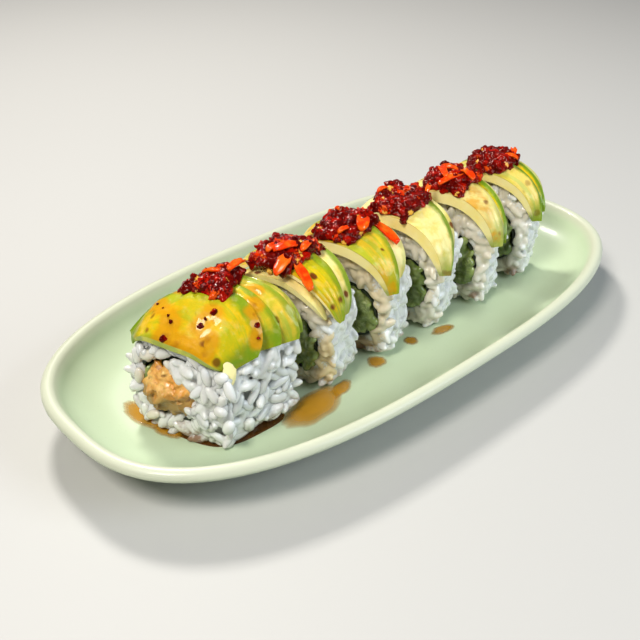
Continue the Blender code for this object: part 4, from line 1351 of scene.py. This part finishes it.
class URAMAKI_OT_relish(bpy.types.Operator):
    """Build the ridge of chilli relish"""

    bl_idname = "uramaki.relish"
    bl_label = "Relish"

    def execute(self, context):
        settings = context.scene.uramaki_relish
        look = relish_material(settings)
        for piece in SLICES:
            draw = random.Random(piece.seed + 200)
            bm = relish_body(piece)
            crumbs, strips = [], []
            count = settings.crumbs * 3 // 4 if piece.is_end else settings.crumbs
            for i in range(count):
                across, share = draw.uniform(-1, 1), (i + draw.random()) / count
                along, angle, _, outer = relish_place(piece, across, share)
                size = settings.crumb_size * draw.uniform(0.65, 1.25)
                offset = outer - draw.uniform(0.3, 1.1) * size
                is_seed = i % SEED_EVERY == 0
                # Three crumbs in ten get a bright tone, a painted glow of light shining through them.
                kind = draw.random()
                tone = draw.uniform(0, 0.2) if kind < 0.7 else draw.uniform(0.5, 1)
                tint = Vector((tone, 0.6 if kind > 0.92 else 0, 1 if is_seed else 0))
                place = lifted(piece, along, angle, offset)
                size *= 0.5 if is_seed else 1
                crumbs.append(partial(add_crumb, place=place, size=size, tint=tint, draw=draw, rough=0.9))
            if piece.is_end:
                for along, angle, _, half_size in (mark for mark in SAUCE_MARKS if mark[3]):
                    along, angle = along * MM, math.radians(angle)
                    place = lifted(piece, along, angle, cover_top(piece, along, angle))
                    size, tint = half_size * MM, Vector((0, 0, 0))
                    crumbs.append(partial(add_crumb, place=place, size=size, tint=tint, draw=draw, rough=0.9))
            flakes = [f[1:] for f in SHOWN_FLAKES if f[0] == piece.name]
            for i in range(settings.flakes):
                across = draw.uniform(-0.8, 0.9)
                along, angle, _, _ = relish_place(piece, across, (i + draw.random()) / settings.flakes)
                size = draw.uniform(4, 6), draw.uniform(1.6, 2.4)
                flakes.append((along / MM, math.degrees(angle), draw.uniform(-90, 90), *size))
            for i, (along, angle, turn, length, width) in enumerate(flakes):
                strips.append(self.flake(piece, along * MM, math.radians(angle), turn, (length, width), i))
            add_many(bm, crumbs)
            node = f"{piece.name}_relish"
            made = finish_piece(f"{piece.name}_crumbs", bm, look, piece.stand, [node], False)
            melt(made, settings.voxel, 1)
            add_separate(f"{piece.name}_flakes", strips, look, piece, node)
        return {"FINISHED"}

    def flake(self, piece, along, angle, turn, size, seed):
        """A flake that lies on whatever is on top at that place."""
        top = cover_top(piece, along, angle)
        start = piece.length / 2 + piece.overhang - 0.4 * MM
        front = -start + (END_RELISH_START if piece.is_end else 0)
        share = (along - front) / (start - front)
        across = (RELISH_MIDDLE_ANGLE - angle) / RELISH_HALF_ANGLE
        if 0 < share < 1 and abs(across) < 0.9:
            top = relish_place(piece, across, share)[3] - 0.4 * MM
        place = lifted(piece, along, angle, top + 0.7 * MM)
        normal = (lifted(piece, along, angle, top + 4 * MM) - place).normalized()
        turned = Matrix.Rotation(math.radians(turn), 3, normal) @ facing(normal, Vector((1, 0, 0)))
        matrix = Matrix.Translation(place) @ turned.to_4x4()
        length, width = size[0] * MM, size[1] * MM
        return partial(add_flake, matrix=matrix, length=length, width=width, seed=seed + piece.seed)


class URAMAKI_OT_sauce(bpy.types.Operator):
    """Build the sauce that has run onto the plate"""

    bl_idname = "uramaki.sauce"
    bl_label = "Sauce"

    def execute(self, context):
        settings = context.scene.uramaki_sauce
        look = sauce_material(settings)
        for number, (x, y, half_x, half_y, turn) in enumerate(SAUCE_BLOTS, start=1):
            bm, layer = self.dome()
            spin = Matrix.Rotation(math.radians(turn), 3, "Z")
            for vert in bm.verts:
                wobble = self.wobble(vert.co, number)
                height = vert.co.z
                vert[layer] = Vector((height, 0, 0))
                flat = spin @ Vector((vert.co.x * half_x * MM * wobble, vert.co.y * half_y * MM * wobble, 0))
                depth = settings.depth * min(1.0, min(half_x, half_y) / 5)
                vert.co = Vector((x * MM, y * MM, FLOOR + 0.05 * MM + number * 0.004 * MM)) + flat
                vert.co.z += smooth(0, 0.8, height) * depth
            finish_piece(f"sauce{number}", bm, look, None, [])
        self.film(SLICES[0], settings, look)
        return {"FINISHED"}

    def dome(self):
        """The upper half of a ball, closed below."""
        bm = bmesh.new()
        bmesh.ops.create_uvsphere(bm, u_segments=64, v_segments=24, radius=1)
        whole = bm.verts[:] + bm.edges[:] + bm.faces[:]
        level, down = (0, 0, 0.02), (0, 0, -1)
        cut = bmesh.ops.bisect_plane(bm, geom=whole, plane_co=level, plane_no=down, clear_outer=True)
        rim = [e for e in cut["geom_cut"] if isinstance(e, bmesh.types.BMEdge)]
        bmesh.ops.holes_fill(bm, edges=rim)
        return bm, bm.verts.layers.float_vector.new("grain")

    def wobble(self, spot, number):
        """How far an outline wanders in or out on this side."""
        side = Vector((spot.x, spot.y, 0)).normalized()
        broad = noise.noise(side * 1.3 + Vector((0, 0, number * 3.7)))
        return 1 + 0.22 * broad + 0.07 * noise.noise(side * 4 + Vector((0, 0, number * 5.1)))

    def film(self, piece, settings, look):
        """A thin sheet round the foot of the end slice, which stands in it, given the darkest sauce colour
        all over.
        """
        bm, layer = self.dome()
        for vert in bm.verts:
            turn = math.atan2(vert.co.y, vert.co.x)
            out = math.hypot(vert.co.x, vert.co.y)
            height = vert.co.z
            reach = FILM_REACH * 3 * (self.wobble(vert.co, 9) - 0.7)
            along = out * (piece.length / 2 + reach) * signed_power(math.cos(turn), 0.55)
            across = out * (piece.half_width - piece.waist + reach) * signed_power(math.sin(turn), 0.55)
            vert.co = settled(piece, along, across, 0.02 * MM + smooth(0, 0.5, height) * settings.depth * 0.6)
            # Every point gets the darkest sauce colour, whatever its real depth.
            vert[layer] = Vector((1.5, 0, 0))
        finish_piece("sauce_film", bm, look, piece.stand, [])


def area_light(name, place, size, power, colour):
    """A square light aimed at the plate's middle."""
    light = bpy.data.lights.new(name, "AREA")
    light.energy = power
    light.size = size
    light.color = colour
    made = bpy.data.objects.new(name, light)
    made.location = place
    made.rotation_euler = (-Vector(place)).to_track_quat("-Z", "Y").to_euler()
    bpy.context.scene.collection.objects.link(made)


class URAMAKI_OT_stage(bpy.types.Operator):
    """Set up the floor, the lights and the camera"""

    bl_idname = "uramaki.stage"
    bl_label = "Stage"

    def execute(self, context):
        settings = context.scene.uramaki_stage
        bm = bmesh.new()
        bmesh.ops.create_grid(bm, x_segments=4, y_segments=4, size=STAGE_HALF_SIZE)
        mesh = bpy.data.meshes.new("floor")
        bm.to_mesh(mesh)
        bm.free()
        mesh.materials.append(floor_material(settings))
        floor = bpy.data.objects.new("floor", mesh)
        floor.location = (0, 0, -STAGE_DROP)
        context.scene.collection.objects.link(floor)
        for name, (place, size, colour) in LIGHTS.items():
            area_light(name, place, size, getattr(settings, name), colour)
        world = bpy.data.worlds.new("surround")
        world.use_nodes = True
        world.node_tree.nodes["Background"].inputs["Color"].default_value = SURROUND
        world.node_tree.nodes["Background"].inputs["Strength"].default_value = settings.world
        context.scene.world = world
        context.scene.view_settings.view_transform = "Standard"
        camera = bpy.data.cameras.new("camera")
        camera.lens = CAMERA_LENS
        camera.sensor_width = CAMERA_SENSOR
        camera.clip_start = 0.01
        made = bpy.data.objects.new("camera", camera)
        basis = Matrix((CAMERA_RIGHT, CAMERA_UP, -Vector(CAMERA_FORWARD))).transposed().to_4x4()
        made.matrix_world = Matrix.Translation(Vector(CAMERA_PLACE) * MM) @ basis
        context.scene.collection.objects.link(made)
        context.scene.camera = made
        return {"FINISHED"}


OPERATORS = (
    URAMAKI_OT_plate,
    URAMAKI_OT_rice,
    URAMAKI_OT_seaweed,
    URAMAKI_OT_fillings,
    URAMAKI_OT_avocado,
    URAMAKI_OT_relish,
    URAMAKI_OT_sauce,
    URAMAKI_OT_stage,
)


class URAMAKI_PT_panel(bpy.types.Panel):
    """Lists the operators and their settings"""

    bl_label = "Uramaki"
    bl_idname = "URAMAKI_PT_panel"
    bl_space_type = "VIEW_3D"
    bl_region_type = "UI"
    bl_category = "Uramaki"

    def draw(self, context):
        for operator in OPERATORS:
            self.layout.operator(operator.bl_idname)
        for name in SETTINGS:
            box = self.layout.box()
            group = getattr(context.scene, name)
            for key in group.bl_rna.properties.keys():
                if key not in ("rna_type", "name"):
                    box.prop(group, key)


SETTINGS = {
    "uramaki_plate": UramakiPlateSettings,
    "uramaki_rice": UramakiRiceSettings,
    "uramaki_filling": UramakiFillingSettings,
    "uramaki_avocado": UramakiAvocadoSettings,
    "uramaki_relish": UramakiRelishSettings,
    "uramaki_sauce": UramakiSauceSettings,
    "uramaki_stage": UramakiStageSettings,
}


def register():
    """Registers every class and hangs the settings on the scene."""
    for kind in (*SETTINGS.values(), *OPERATORS, URAMAKI_PT_panel):
        bpy.utils.register_class(kind)
    for name, kind in SETTINGS.items():
        setattr(bpy.types.Scene, name, PointerProperty(type=kind))


def unregister():
    """Takes the settings and classes away again."""
    for name in SETTINGS:
        delattr(bpy.types.Scene, name)
    for kind in reversed((*SETTINGS.values(), *OPERATORS, URAMAKI_PT_panel)):
        bpy.utils.unregister_class(kind)


def main():
    """Builds everything in order."""
    register()
    bpy.ops.uramaki.plate()
    bpy.ops.uramaki.rice()
    bpy.ops.uramaki.seaweed()
    bpy.ops.uramaki.fillings()
    bpy.ops.uramaki.avocado()
    bpy.ops.uramaki.relish()
    bpy.ops.uramaki.sauce()
    bpy.ops.uramaki.stage()


if __name__ == "__main__":
    main()
